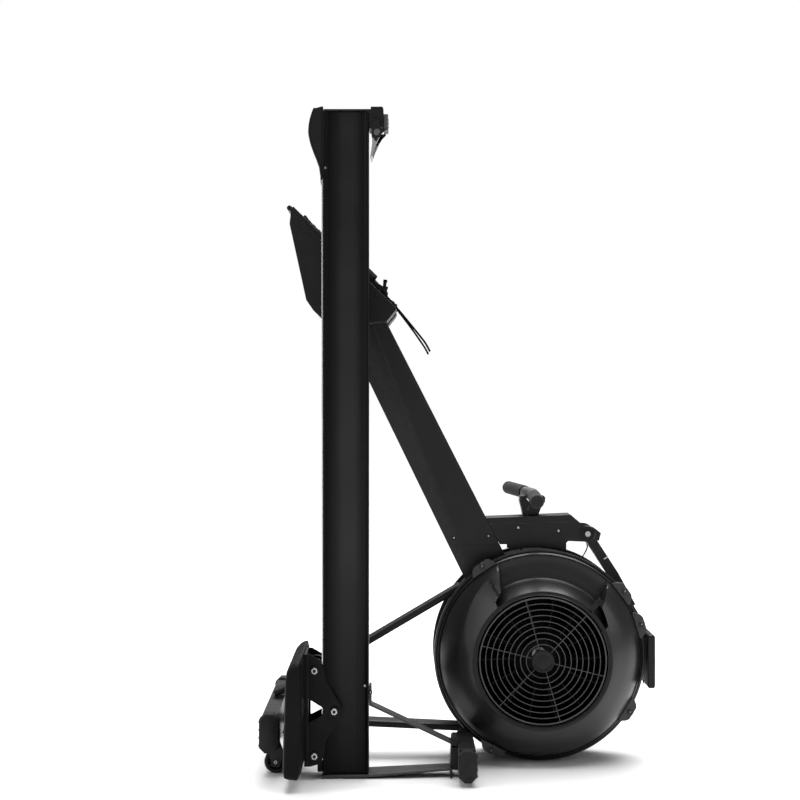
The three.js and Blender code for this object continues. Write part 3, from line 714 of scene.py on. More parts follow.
def far_cover():
    """The shallower shell of the far side, with stiffening ribs on its slope."""
    depth = (FAR_FACE - FAR_FLANGE) / MM
    outside = [(RIM - 0.5, 0), (RIM, 1), (RIM, 10), (RIM - 1, 12), (RIM - 5, 12.5), (RIM - 6, 11),
               (RIM - 8, 15), (RIM - 11, 20), (RIM - 30, 34), (RIM - 47, 45), (RIM - 65, depth - 4),
               (RIM - 76, depth - 0.6), (MOUTH + 8, depth), (MOUTH + 2, depth), (MOUTH, depth - 1.5),
               (MOUTH, depth - 5)]
    inside = [(r - 1.0 if r > MOUTH + 3 else r + 1.6, h - 2.4) for r, h in reversed(outside[2:])]
    bm = bmesh.new()
    lathe(bm, at_y(AXLE, FAR_FLANGE), [*outside, *inside, (RIM - 4, 0)], Y, 160, closed=True)
    rib = [(RIM - 68, depth - 6), (RIM - 14, 17), (RIM - 14, 20.5), (RIM - 46, 47), (RIM - 68, depth - 1.2)]
    for i in range(18):
        rows = [[polar(20 * i + 10 + math.degrees(offset / r), r, FAR_FLANGE + h * MM) for r, h in rib]
                for offset in (-1.1, 1.1)]
        grid(bm, rows, close_row=True, caps=True)
    add_piece("housing_far_shell", bm, FRONT, "cover", "housing_far_cover", sharp=48)


def housing_band():
    """The sheet band between the covers, with two rows of rivets."""
    y0, y1 = low("housing_band").y, high("housing_band").y
    wide, outer = (y1 - y0) / MM, RIM - 19
    profile = [(outer - 3, 0), (outer, 0.4), (outer, 5), (outer - 0.8, 6.5), (outer - 0.8, wide - 6.5),
               (outer, wide - 5), (outer, wide - 0.4), (outer - 3, wide)]
    bm = bmesh.new()
    lathe(bm, at_y(AXLE, y0), profile, Y, 160, closed=True)
    for i in range(24):
        at = polar(15 * i + 4, outer - 0.6, (y0 + y1) / 2)
        out = (at - at_y(AXLE, at.y)).normalized()
        for step in (-38, 38):
            lathe(bm, at + Y * step * MM, rounded_pin(3.2, -0.5, 1.5, 0.9), out, 14)
    add_piece("housing_band_skin", bm, FRONT, "paint", "housing_band", sharp=40)


def wire_guard(name, y, rings, node):
    """Rings and spokes of round wire round a hub plate, the last ring thicker."""
    bm = bmesh.new()
    reach = MOUTH - 3
    for i in range(rings):
        radius = HUB + (reach - HUB) * (i + 1) / rings - 1.3
        hoop(bm, at_y(AXLE, y), radius, 0.95 if i < rings - 1 else 1.7, 120)
    for i in range(6):
        spoke = [polar(46 + 60 * i, r, y + 2 * MM) for r in (HUB - 3, reach - 1)]
        sweep(bm, spoke, circle(1.0 * MM, 8))
    add_piece(name, bm, FRONT, "wire", node)


def hub_caps():
    near = [(0, 1.0), (14, 1.2), (19, 2.0), (20, 1.2), (22.6, 1.2), (23.6, 2.2), (HUB, 4), (HUB, 10), (0, 10)]
    far = [(0, -6), (HUB, -6), (HUB, -1.5), (23, -0.4), (10, 0), (0, 0)]
    for name, y, profile in (("near_hub_cap", low("near_grille").y, near), ("far_hub_cap", FAR_FACE, far)):
        bm = bmesh.new()
        lathe(bm, at_y(AXLE, y), profile, Y, 64)
        add_piece(name, bm, FRONT, "moulding", sharp=50)


def damper():
    """The turning ring round the inlet with its finger tab and the tab's five grip ribs."""
    bm = bmesh.new()
    centre = at_y(AXLE, low("damper_lever").y + 8 * MM)
    ring = [(139.6, 2.8), (139.6, 0.6), (140.4, 0), (146, 0), (147, 0.8), (147, 2.8)]
    lathe(bm, centre, ring, Y, 160, closed=True)
    ring_verts = len(bm.verts)
    tab = [(143, 5), (166, 6), (177.5, 5.5)]  # (radius, half width)
    outline = [(r, -w) for r, w in tab] + [(r, w) for r, w in reversed(tab)]
    prism(bm, [(r * MM, w * MM) for r, w in outline], 0, 2.6 * MM)
    grips = [(167.2 + 2.2 * i, 1.2, 10.4, 0.5, 2, 7.4) for i in range(5)] + [(166, 11.5, 11, 1.5, 3, 6.4)]
    for start, long, wide, radius, steps, deep in grips:
        corners = rounded_rect(long * MM, wide * MM, radius * MM, steps)
        prism(bm, [((start + long / 2) * MM + x, z) for x, z in corners], -deep * MM, 0)
    bm.verts.ensure_lookup_table()
    place = Matrix.Translation(centre) @ Matrix.Rotation(math.radians(-47), 4, "Y")
    bmesh.ops.transform(bm, matrix=place, verts=bm.verts[ring_verts:])
    add_piece("damper_ring", bm, "damper", "moulding", "damper_lever", bevel=0.5, sharp=40)


# ---- flywheel ----


def fan():
    """A spun disc with curved blades, each a thin plate that steps in under the cover."""
    bm = bmesh.new()
    centre = at_y(AXLE, low("fan_wheel").y)
    deep = (high("fan_wheel").y - centre.y) / MM
    disc = [(16, deep - 57), (34, deep - 57), (34, deep - 22), (40, deep - 20.5), (188, deep - 19.5),
            (194, deep - 18), (196, deep - 15), (194, deep - 13.4), (34, deep - 12), (34, deep), (16, deep)]
    lathe(bm, centre, disc, Y, 96, closed=True)
    blades, steps = 14, 8
    for i in range(blades):
        rows = []
        for step in range(steps + 1):
            r = 62 + 130 * step / steps
            a = math.tau * i / blades + 0.1 * (step / steps) ** 2
            top = 56 * min(max((r - 126) / 22, 0.0), 1.0)
            skew = 0.8 / r  # half the blade's thickness as an angle
            corners = ((a - skew, top), (a + skew, top), (a + skew, deep - 19), (a - skew, deep - 19))
            rows.append([centre + Vector((math.cos(b) * r, h, math.sin(b) * r)) * MM for b, h in corners])
        grid(bm, rows, close_row=True, caps=True)
    # its near-black paint is painted shade for the inside of the housing
    add_piece("fan_disc_and_blades", bm, "flywheel", "dim", "fan_wheel", sharp=40)


def bearing(node):
    """Two races with a seal between them."""
    bm = bmesh.new()
    start = at_y(AXLE, low(node).y)
    wide = (high(node).y - start.y) / MM
    for inner, outer in ((8.4, 10.4), (13.4, 15.6)):
        race = [(inner, 0.4), (inner + 0.4, 0), (outer - 0.4, 0), (outer, 0.4), (outer, wide - 0.4),
                (outer - 0.4, wide), (inner + 0.4, wide), (inner, wide - 0.4)]
        lathe(bm, start, race, Y, 48, closed=True)
    lathe(bm, start, [(10.4, 0.8), (13.4, 0.8), (13.4, wide - 0.8), (10.4, wide - 0.8)], Y, 48, closed=True)
    add_piece(f"{node}_races", bm, "flywheel", "chrome", node, sharp=40)


def sprocket():
    bm = bmesh.new()
    teeth, root, tip = 14, 27.5, 33.0
    # (share of the pitch, radius) along one tooth
    tooth = [(0.0, root), (0.12, root + 0.3), (0.3, tip - 1.2), (0.38, tip), (0.46, tip), (0.54, tip - 1.2),
             (0.72, root + 0.3), (0.84, root)]
    points = [polar(360 * (i + share) / teeth, r, 0) for i in range(teeth) for share, r in tooth]
    middle_y = high("drive_sprocket").y - 2.5 * MM
    prism(bm, [(p.x, p.z) for p in points], middle_y - 2 * MM, middle_y + 2 * MM)
    hub = [(9, 0), (17, 0), (18, 1), (18, 12), (21, 13), (21, 17.5), (9, 17.5)]
    lathe(bm, at_y(AXLE, low("drive_sprocket").y), hub, Y, 48, closed=True)
    add_piece("drive_sprocket_teeth", bm, "flywheel", "steel", "drive_sprocket", bevel=0.3, sharp=40)


def chain_pins():
    """Places at even steps along the CAD chain's line, from the handle round the sprocket."""
    top = Vector((middle("handle_boss").x, FRONT_Y, high("drive_chain").z))
    turn = [polar(180 + 160 * i / 20, 34.5, FRONT_Y) for i in range(21)]
    path = [top, top - Vector((22, 0, 81)) * MM, *smooth_path([turn[0] + Z * 73 * MM, *turn], 3)]
    pitch, walked, pins = 6.35 * MM, 0.0, [top]
    for a, b in zip(path, path[1:]):
        length = (b - a).length
        while walked + length >= pitch * len(pins):
            pins.append(a.lerp(b, (pitch * len(pins) - walked) / length))
        walked += length
    return pins


def chain():
    """Roller chain: pairs of waisted plates on rollers, wide and narrow pairs in turn."""
    bm = bmesh.new()
    pins = chain_pins()
    for i, (a, b) in enumerate(zip(pins, pins[1:])):
        lathe(bm, a, [(0, -2.1), (1.6, -2.1), (1.6, 2.1), (0, 2.1)], Y, 8)
        side = 1.7 if i % 2 else 1.1
        across = Y.cross((b - a).normalized())
        for sign in (-1, 1):
            rows = [[a.lerp(b, t) + across * w * MM + Y * sign * (side + h) * MM
                     for w, h in ((-u, -0.25), (u, -0.25), (u, 0.25), (-u, 0.25))]
                    for t, u in ((-0.2, 1.4), (0.0, 2.3), (0.5, 1.6), (1.0, 2.3), (1.2, 1.4))]
            grid(bm, rows, close_row=True, caps=True)
    add_piece("drive_chain_links", bm, FRONT, "steel", "drive_chain")


# ---- fasteners ----
BOLTS = defaultdict(bmesh.new)  # (body, look) -> mesh that gathers them


def fastener(body, at, axis, radius, height, kind="button"):
    """A bright bolt head on a black washer that stands out of a surface at a point, sizes in mm."""
    washer, head = BOLTS[body, "moulding"], BOLTS[body, "chrome"]
    base = Vector(at)
    wide = radius + 1.8
    lathe(washer, base, [(0, -0.4), (wide - 0.2, -0.4), (wide, 0.1), (wide - 0.2, 0.8), (0, 0.8)], axis, 28)
    if kind == "button":
        r = radius * 0.86
        dome = [(0, 0.6), (r, 0.6), (r, height * 0.3), (r * 0.9, height * 0.7), (r * 0.66, height),
                (r * 0.48, height), (r * 0.46, height * 0.45), (0, height * 0.4)]
        lathe(head, base, dome, axis, 24)
        return
    u = axis.orthogonal().normalized()
    v = axis.cross(u)
    rows = [[base + (u * a + v * b + axis * h) * MM for a, b in circle(r, 6)]
            for r, h in ((radius, 0.6), (radius, height * 0.82), (radius * 0.9, height))]
    grid(head, rows, close_row=True, caps=True)
    stud = [(0, height), (radius * 0.5, height), (radius * 0.48, height + 0.5), (0, height + 0.6)]
    lathe(washer, base, stud, axis, 16)


def finish_fasteners():
    for (body, look), bm in BOLTS.items():
        part = "bolts" if look == "chrome" else "washers"
        add_piece(f"{body}_{part}", bm, body, look, bevel=0.25, sharp=40)


# ---- front section: frame ----


def main_beam():
    refined("main_beam", "paint", 3.4, 4)
    a, b = low("main_beam"), high("main_beam")
    low_end, top_end = Vector((b.x - 0.062, a.y, a.z)), Vector((a.x + 0.048, FRONT_Y, b.z))
    rise = (at_y(top_end, a.y) - low_end).normalized()
    across = Vector((rise.z, 0, -rise.x))
    bm = bmesh.new()  # plastic plug in the open upper end
    section = rounded_rect(63 * MM, 92 * MM, 5 * MM)
    rows = [[top_end + (Y * u + across * v) * k + rise * (h - 4) * MM for u, v in section]
            for h, k in ((-16, 0.98), (-1, 0.98), (2, 0.96), (3, 0.9))]
    grid(bm, rows, close_row=True, caps=True)
    add_piece("main_beam_end_plug", bm, FRONT, "moulding", sharp=40)
    for shift, height in ((-0.0555, 0.104), (0.0196, 0.108)):
        fastener(FRONT, low_end + Vector((shift, 0, height)), -Y, 2.9, 2.0)
    bm = bmesh.new()  # the weld seam where the handle frame meets the beam
    seam = [(-0.056 + 0.007 * i, 0.1 * MM, 0.089 + 0.0006 * math.sin(i)) for i in range(14)]
    sweep(bm, [low_end + Vector(p) for p in seam], circle(0.9 * MM, 6))
    add_piece("main_beam_seam", bm, FRONT, "paint")


def handle_frame():
    """The channel with caps over the arm's pivot, threaded inserts, and ribs along its folds."""
    refined("handle_frame", "paint", 2.2, 4)
    a, b = low("handle_frame"), high("handle_frame")
    pivot = middle("arm_pivot_bolt")
    cap = [(0, -1), (16.5, -1), (17.4, 0.4), (16.5, 2.2), (13.5, 2.4), (12.8, 1.4), (0, 1.4)]
    caps, ribs = bmesh.new(), bmesh.new()
    for y, axis in ((a.y, -Y), (b.y, Y)):
        lathe(caps, at_y(pivot, y), cap, axis, 40)
        fastener(FRONT, at_y(pivot, y) + axis * 1.4 * MM, axis, 5.6, 4.2)
        path = [Vector((a.x + 0.006, y, b.z - 0.0205)), Vector((a.x + 0.19, y, b.z - 0.0145))]
        sweep(ribs, path, rounded_rect(1.8 * MM, 3.2 * MM, 0.8 * MM, 3))
    add_piece("arm_pivot_caps", caps, FRONT, "moulding", sharp=40)
    for x, z in ((0.0687, 0.0508), (0.1567, 0.0438)):
        fastener(FRONT, a + Vector((x, 0, z)), -Y, 3.8, 2.4)
    add_piece("handle_frame_ribs", ribs, FRONT, "paint")
    kept("arm_pivot_bolt", "chrome")
    kept("cross_tube", "steel")
    kept("flywheel_axle", "steel")


def handle_hook():
    refined("handle_hook", "moulding", 2.2, 4)
    for x, z in ((18, 14), (20, 19)):
        fastener(FRONT, low("handle_hook") + Vector((x, 0, z)) * MM, -Y, 1.5, 1.4)


def front_legs():
    y = low("front_leg_upper_strut").y - 0.2 * MM
    for node, x, z in (("front_leg_upper_strut", 30, 20), ("front_leg_lower_strut", 22, 24)):
        refined(node, "paint", 4.5, 4)
        fastener(FRONT, at_y(low(node) + Vector((x, 0, z)) * MM, y), -Y, 2.8, 2.0)


def front_crossbar():
    refined("front_crossbar", "paint", 2.6, 3)
    for side, _ in SIDES:
        for way in (-1, 1):
            at = middle(f"caster_wheel_{side}") + Y * way * 14.2 * MM
            fastener(FRONT, at, Y * way, 4.2, 3.2, "hex")


def caster_wheel(side):
    """A hub with five spokes inside a ribbed tyre."""
    node = f"caster_wheel_{side}"
    centre = middle(node)
    r, w = (high(node).x - centre.x) / MM, (high(node).y - centre.y) / MM
    tyre = [(r - 7, -w + 1), (r - 4, -w), (r - 1.4, -w + 0.8), (r, -w + 3)]
    for y in (4.5 - w, 0, w - 4.5):
        tyre += [(r, y - 0.7), (r - 0.7, y), (r, y + 0.7)]
    tyre += [(r, w - 3), (r - 1.4, w - 0.8), (r - 4, w), (r - 7, w - 1)]
    hub = [(4.4, -w + 0.6), (8, -w + 0.6), (8.6, -w + 1.6), (8.6, w - 1.6), (8, w - 0.6), (4.4, w - 0.6)]
    web = [(8, -1.6), (r - 6.6, -1.6), (r - 6.6, 1.6), (8, 1.6)]
    bm = bmesh.new()
    for profile, steps in ((tyre, 56), (hub, 32), (web, 48)):
        lathe(bm, centre, profile, Y, steps, closed=True)
    for i in range(5):
        turn = math.tau * i / 5
        out = Vector((math.cos(turn), 0, math.sin(turn))) * MM
        sweep(bm, [centre + out * 7.5, centre + out * (r - 6.4)], rounded_rect(1.6 * w * MM, 3 * MM, 1 * MM))
    add_piece(f"{node}_tyre", bm, f"caster_{side}", "rubber", node, sharp=40)


def rubber_foot(node, body, face):
    """A rounded block with moulded ribs across the face, at x, that meets the floor in use."""
    a, b = low(node), high(node)
    centre, size = (a + b) / 2, b - a
    outline = rounded_rect(size.x, size.z, 12 * MM, 1)
    kx, kz = 1 - 3.2 * MM / size.x, 1 - 3.2 * MM / size.z
    steps = [(0, kx * 0.97, kz * 0.97), (0.5, kx, kz), (1.6, (1 + kx) / 2, (1 + kz) / 2), (4.5, 1, 1)]
    levels = [(a.y + d * MM, u, v) for d, u, v in steps] + [(b.y - d * MM, u, v) for d, u, v in steps[::-1]]
    rows = [[Vector((centre.x + x * u, y, centre.z + z * v)) for x, z in outline] for y, u, v in levels]
    bm = bmesh.new()
    grid(bm, rows, close_row=True, caps=True)
    for i in range(1, 5):
        z = a.z + size.z * i / 5
        path = [Vector((face, a.y + 4 * MM, z)), Vector((face, b.y - 4 * MM, z))]
        sweep(bm, path, rounded_rect(1.8 * MM, 3.6 * MM, 0.8 * MM, 3), X)
    add_piece(f"{node}_moulded", bm, body, "rubber", node, sharp=50)


# ---- front section: monitor ----


def monitor_arm():
    refined("monitor_arm", "paint", 2.4, 4)
    pivot = at_y(middle("arm_pivot_bolt"), FRONT_Y)
    bm = bmesh.new()  # the stop bracket at the pivot
    bracket = [(16, 12), (31.5, 0), (27, -17), (15, -15), (12, 2)]
    outline = fillet([(pivot.x + u * MM, pivot.z + v * MM) for u, v in bracket], 1.2 * MM, 2)
    prism(bm, outline, FRONT_Y - 20.6 * MM, FRONT_Y + 20.6 * MM)
    add_piece("monitor_arm_bracket", bm, "arm", "paint", bevel=0.8)
    bm = bmesh.new()  # a clip on the middle of the arm
    clip = pivot + Vector((42, -20.4, -54)) * MM
    along = Vector((0.84, 0, 0.55)) * MM
    plank(bm, [clip - along * 5, clip + along * 6], 1.6, 2.6, 0.6)
    add_piece("monitor_arm_clip", bm, "arm", "steel")


def monitor():
    """The case with a raised bezel round its window, its keys, and cooling slots on the back."""
    refined("monitor_case", "moulding", 1.6, 3)
    case_low, case_high = low("monitor_case"), high("monitor_case")
    screen, size = middle("monitor_screen"), high("monitor_screen") - low("monitor_screen")
    bm = bmesh.new()
    outline = rounded_rect(size.y + 8 * MM, size.z + 8 * MM, 4 * MM, 5)
    bezel = [Vector((case_high.x - 4.2 * MM, screen.y + y, screen.z + z)) for y, z in outline]
    sweep(bm, bezel, circle(1.1 * MM, 8), side=X, closed=True)
    add_piece("monitor_bezel", bm, "monitor", "moulding")
    kept("monitor_screen", "glass")
    for node in ("menu_button", "select_button"):
        refined(node, "rubber", 1.2, 3)
    bm = bmesh.new()
    back = case_low.x + 11.6 * MM
    for i in range(-3, 4):
        for side in (-1, 1):
            slot = [Vector((back, screen.y + side * y * MM, screen.z + i * 5 * MM)) for y in (40, 68)]
            sweep(bm, slot, circle(1.0 * MM, 6), side=X)
    add_piece("monitor_back_ribs", bm, "monitor", "moulding")
    for y in (case_low.y + 0.014, case_high.y - 0.014):
        for z in (case_low.z + 0.012, case_high.z - 0.012):
            fastener("monitor", (back, y, z), -X, 2.6, 1.8)


def sensor_wire():
    bm = bmesh.new()
    start, size = low("sensor_wire"), high("sensor_wire") - low("sensor_wire")
    # (share across, share up) of the wire's box, from the channel to the housing
    route = [(0.03, 0.99), (0.43, 0.77), (0.83, 0.62), (0.95, 0.47), (0.8, 0.31), (0.53, 0.135),
             (0.34, 0.015)]
    path = smooth_path([start + Vector((size.x * u, size.y / 2, size.z * v)) for u, v in route], 8)
    sweep(bm, path, circle(1.5 * MM, 10))
    add_piece("sensor_lead", bm, FRONT, "cable", "sensor_wire")


# ---- front section: handle ----
HANDLE_TWIST, HANDLE_BEND, HANDLE_TILT = 5.2, 7.0, 1.5  # degrees


def handle_axis(degrees, sign):
    """The direction of one half of the bar, outwards."""
    turn, tilt = math.radians(degrees), math.radians(HANDLE_TILT)
    return Vector((-math.sin(turn), math.cos(turn) * math.cos(tilt), math.cos(turn) * math.sin(tilt))) * sign


def handle_half(side, sign, hub):
    """The tube of one side, and its foam grip with shallow rings moulded in."""
    out = handle_axis(HANDLE_TWIST + sign * HANDLE_BEND, sign)
    start, end, r = 60, 199.6, 14.5
    profile = [(10.6, start), (r - 1.2, start), (r, start + 1.6), (r, start + 6)]
    for i in range(26):
        at = start + 12 + i * (end - start - 22) / 25
        profile += [(r, at - 1.3), (r - 0.35, at - 0.6), (r - 0.35, at + 0.1), (r, at + 0.8)]
    profile += [(r, end - 6), (r - 0.7, end - 3), (r - 2.4, end - 1.2), (r - 5.5, end - 0.2), (0, end),
                (0, end - 4), (10.6, end - 4)]
    bm = bmesh.new()
    lathe(bm, hub, profile, out, 48, closed=True)
    grip = add_piece(f"handle_foam_{side}", bm, "handle", "foam", f"handle_grip_{side}", sharp=60)
    tube = [(0, 0), (10, 0), (10, 58), (11.6, 59), (11.6, 61), (10, 62), (10, 193), (0, 194)]
    bm = bmesh.new()
    lathe(bm, hub, tube, out, 36)
    bar = add_piece(f"handle_tube_{side}", bm, "handle", "moulding", sharp=40)
    if sign > 0:
        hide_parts("handle_bar")


def handle():
    hub = middle("handle_boss")
    hub.x += 26 * math.sin(math.radians(HANDLE_BEND)) * MM
    for side, sign in SIDES:
        handle_half(side, sign, hub)
    # (place along, radius) of the light sleeve's far half, from its middle outwards
    half = [(20, 13.1), (52, 13), (57, 12.6), (58, 11.6)]
    rows = []
    for along, r in [(-u, r) for u, r in half[::-1]] + [(0, 13.2)] + half:
        out = handle_axis(HANDLE_TWIST + (math.copysign(HANDLE_BEND, along) if along else 0), 1)
        across = out.cross(Z).normalized()
        up = across.cross(out)
        rows.append([hub + (out * along + across * c * r + up * s * r) * MM for c, s in circle(1, 40)])
    bm = bmesh.new()
    grid(bm, rows, close_row=True, caps=True)
    add_piece("handle_centre_sleeve", bm, "handle", "grey", "handle_boss", sharp=50)


# ---- front section: footrests ----


class Footrest:
    """One footrest's plate: its directions, its half width and length in mm, and places on it."""

    def __init__(self, side):
        a, b = low(f"footrest_{side}"), high(f"footrest_{side}")
        self.side = side
        self.heel = Vector((a.x + 4 * MM, (a.y + b.y) / 2, b.z))
        toe = Vector((b.x, self.heel.y, a.z + 28 * MM))
        self.along = (toe - self.heel).normalized()
        self.normal = Vector((-self.along.z, 0, self.along.x))
        self.half, self.length = (b.y - a.y) / 2 / MM, (toe - self.heel).length / MM

    def on(self, u, v, w):
        """A place in mm from the heel to the toe, across, and out of the plate."""
        return self.heel + (self.along * u + Y * v + self.normal * w) * MM

    def cross(self, bm, u, reach, w, *size):
        """A plank across the plate."""
        plank(bm, [self.on(u, -reach, w), self.on(u, reach, w)], *size, side=self.along)


def footrest_ribs(rest):
    """Border lips, tread bars, the strap's bridge and the ribs behind the plate."""
    half, length = rest.half, rest.length
    bm = bmesh.new()
    for v in (-1, 1):
        y = v * (half - 2)
        plank(bm, [rest.on(3, y, 0.4), rest.on(length - 3, y, 0.4)], 3.6, 4.4, 1.2)
        y = v * (half + 0.3)
        plank(bm, [rest.on(6, y, -7.5), rest.on(length - 8, y, -7.5)], 1.4, 1.8, 0.6)
    rest.cross(bm, 3, half - 4, -2.4, 4, 4.4, 1.2)
    rest.cross(bm, length - 3, half - 4, 0.4, 4, 4.4, 1.2)
    rest.cross(bm, -1, half - 3, -5.5, 10, 10, 4.6)
    rest.cross(bm, 190, half - 14, 7, 8, 13, 2.5)
    for i in range(6):
        rest.cross(bm, 192 + i * 17, half - 12, 0.1, 5, 2.2, 1)
    for i in range(4):
        rest.cross(bm, 40 + i * 58, half - 3, -14, 2.6, 18, 0.8)
    add_piece(f"footrest_ribs_{rest.side}", bm, FRONT, "moulding")


def footrests():
    for side, _ in SIDES:
        refined(f"footrest_{side}", "moulding", 2.6, 4)
        rest = Footrest(side)
        footrest_ribs(rest)
        heel_slider(rest)
        strap(rest)
        buckle(rest)
        for v in (16 - rest.half, rest.half - 16):
            for at in (rest.on(rest.length - 22, v, 0.6), rest.on(236, v, 0.4)):
                fastener(FRONT, at, rest.normal, 3.2, 2.2)


def heel_slider(rest):
    """The sliding heel plate, with ridges and a row of adjusting holes."""
    refined(f"heel_slider_{rest.side}", "moulding", 1.6, 3)
    bm = bmesh.new()
    reach = rest.half - 18
    for i in range(6):
        u, w = 46 + i * 15, 6.0 - i * 0.05
        for v0, v1 in ((-reach, -12), (12, reach)):
            plank(bm, [rest.on(u, v0, w), rest.on(u, v1, w)], 5, 1.8, 0.8, side=rest.along)
        hoop(bm, rest.on(u, 0, 6.2), 4.2, 0.9, 24, 6, axis=rest.normal)
    add_piece(f"heel_ridges_{rest.side}", bm, f"heel_{rest.side}", "moulding")


def strap(rest):
    """The webbing arch, and the tail that runs on past the toe."""
    arch = []
    for i in range(25):
        a = math.pi * i / 24
        rise = 24 * math.sin(a) * (1 - 0.05 * math.sin(a) ** 2) + 0.6
        arch.append(rest.on(210, 48.4 * math.cos(a), rise))
    bm = bmesh.new()
    sweep(bm, arch, rounded_rect(37 * MM, 2.6 * MM, 1.1 * MM, 3), side=rest.along)
    add_piece(f"foot_strap_{rest.side}_webbing", bm, FRONT, "webbing", f"foot_strap_{rest.side}")
    lift = 5 if rest.side == "far" else 0
    tail = [(240, 3.4), (256, 8 + lift), (300, 6 + lift), (350, 1.2 + lift * 0.6), (395, -4), (410, -7.5),
            (421, -11)]
    path = smooth_path([rest.on(u, 0, w) for u, w in tail], 8)
    bm = bmesh.new()
    sweep(bm, path, rounded_rect(24 * MM, 3.6 * MM, 1.2 * MM, 2))
    add_piece(f"strap_tail_{rest.side}", bm, FRONT, "webbing", f"strap_end_{rest.side}")


def buckle(rest):
    """Cam buckle: a frame with a sprung lever that stands off the strap."""
    bm = bmesh.new()
    for v in (-17, 17):
        plank(bm, [rest.on(222, v, 2), rest.on(240, v, 9), rest.on(256, v, 12)], 3, 11, 1.4)
    rest.cross(bm, 232, 17, 12, 6, 5, 2)
    lever = ((268, 262, 2, 12, 15), (262, 255, 11, 20, 11), (255, 247, 19, 29, 7), (249, 246, 27, 31, 8.5))
    for u0, u1, w0, w1, thick in lever:
        plank(bm, [rest.on(u0, 0, w0), rest.on(u1, 0, w1)], 22, thick, 1.8)
    for i in range(4):
        rest.cross(bm, 288 + i * 4.2, 15, 5 + i % 2, 4.4, 9, 1.6)
    add_piece(f"strap_buckle_{rest.side}", bm, FRONT, "moulding")


# ---- monorail section ----


def rail_profile():
    """The extrusion's outline: broad edges, a soft hollow on each side, and a flat track bed."""
    a, b = low("monorail"), high("monorail")
    wide, half = b.x - a.x, (b.y - a.y) / 2
    # (share across from the seat side, depth under the edge in mm) of the near side
    near = [(0.004, 0.9), (0.015, 0.1), (0.03, 0), (0.045, 0.8), (0.06, 2.6), (0.08, 4.4), (0.11, 5.7),
            (0.16, 6.5), (0.24, 7.0), (0.36, 7.4), (0.5, 7.5), (0.70, 7.5), (0.735, 7.3), (0.75, 6.9),
            (0.765, 6.7), (0.87, 6.4), (0.925, 6.1), (0.945, 4.6), (0.955, 2.0), (0.965, 0.4),
            (0.975, 0), (0.986, 0), (0.996, 0.9)]
    outline = [(a.x + wide * u, RAIL_Y - half + d * MM) for u, d in near]
    return outline + [(x, 2 * RAIL_Y - y) for x, y in reversed(outline)]


def monorail():
    a, b = low("monorail"), high("monorail")
    outline = rail_profile()
    centre = Vector(((a.x + b.x) / 2, RAIL_Y))
    shrink = lambda k: [tuple(centre + (Vector(p) - centre) * k) for p in outline]
    bm = bmesh.new()
    ends = ((0.0, 0.975), (0.4, 0.992), (1.3, 1.0))
    levels = [(a.z + d * MM, k) for d, k in ends] + [(b.z - d * MM, k) for d, k in reversed(ends)]
    grid(bm, [[Vector((x, y, z)) for x, y in shrink(k)] for z, k in levels], close_row=True, caps=True)
    add_piece("monorail_extrusion", bm, RAIL, "rail", "monorail", sharp=42)
    refined("seat_track", "steel", 0.7, 2)
    refined("rail_end_stop", "rubber", 2.4, 4)


def rail_legs():
    # the lighter strut paint on the plate and brace is painted light
    refined("rear_leg_plate", "strut", 1.6, 3)
    refined("rear_leg_brace", "strut", 1.4, 3)
    refined("rear_crossbar", "paint", 3.2, 4)
    leg_face, top = high("monorail").x, high("rear_leg_brace").z
    for y in (-9 * MM, 9 * MM):
        fastener(RAIL, (leg_face + 3.4 * MM, RAIL_Y + y, top - 14 * MM), X, 3.8, 3.2, "hex")
    fastener(RAIL, (leg_face - 8 * MM, RAIL_NEAR + 2.6 * MM, top + 2 * MM), -Y, 2.9, 2.2)
    fastener(RAIL, (leg_face + 3 * MM, RAIL_NEAR + 17.2 * MM, top - 14 * MM), -Y, 2.6, 2.0)
    for side, _ in SIDES:
        rubber_foot(f"rear_foot_{side}", RAIL, high(f"rear_foot_{side}").x)
    rear_bracket()


def rear_bracket():
    """The welded bracket that joins the leg plate and the brace to the rear crossbar."""
    left, top = low("rear_crossbar").x, high("rear_crossbar").z
    brace_low, brace_high = low("rear_leg_brace"), high("rear_leg_brace")
    plate = high("rear_leg_plate")
    side = [(-1.8, 12), (-2.4, 20), (-2.2, 40), (-1.2, 62), (-0.6, 80), (3, 84), (11, 83.6), (15, 79),
            (18, top / MM + 2), (18, top / MM - 6), (1.5, top / MM - 6), (1.5, 12)]
    outline = [(left + u * MM, v * MM) for u, v in side]
    bm = bmesh.new()
    prism(bm, fillet(outline, 1.2 * MM, 2), brace_low.y - 1.5 * MM, brace_high.y + 1.5 * MM)
    start = (plate.x - 1 * MM, low("rear_leg_plate").y + 1 * MM, 1 * MM)
    block(bm, start, (left + 1 * MM, plate.y - 1 * MM, plate.z - 0.4 * MM))
    add_piece("rear_bracket", bm, RAIL, "paint", bevel=0.7)


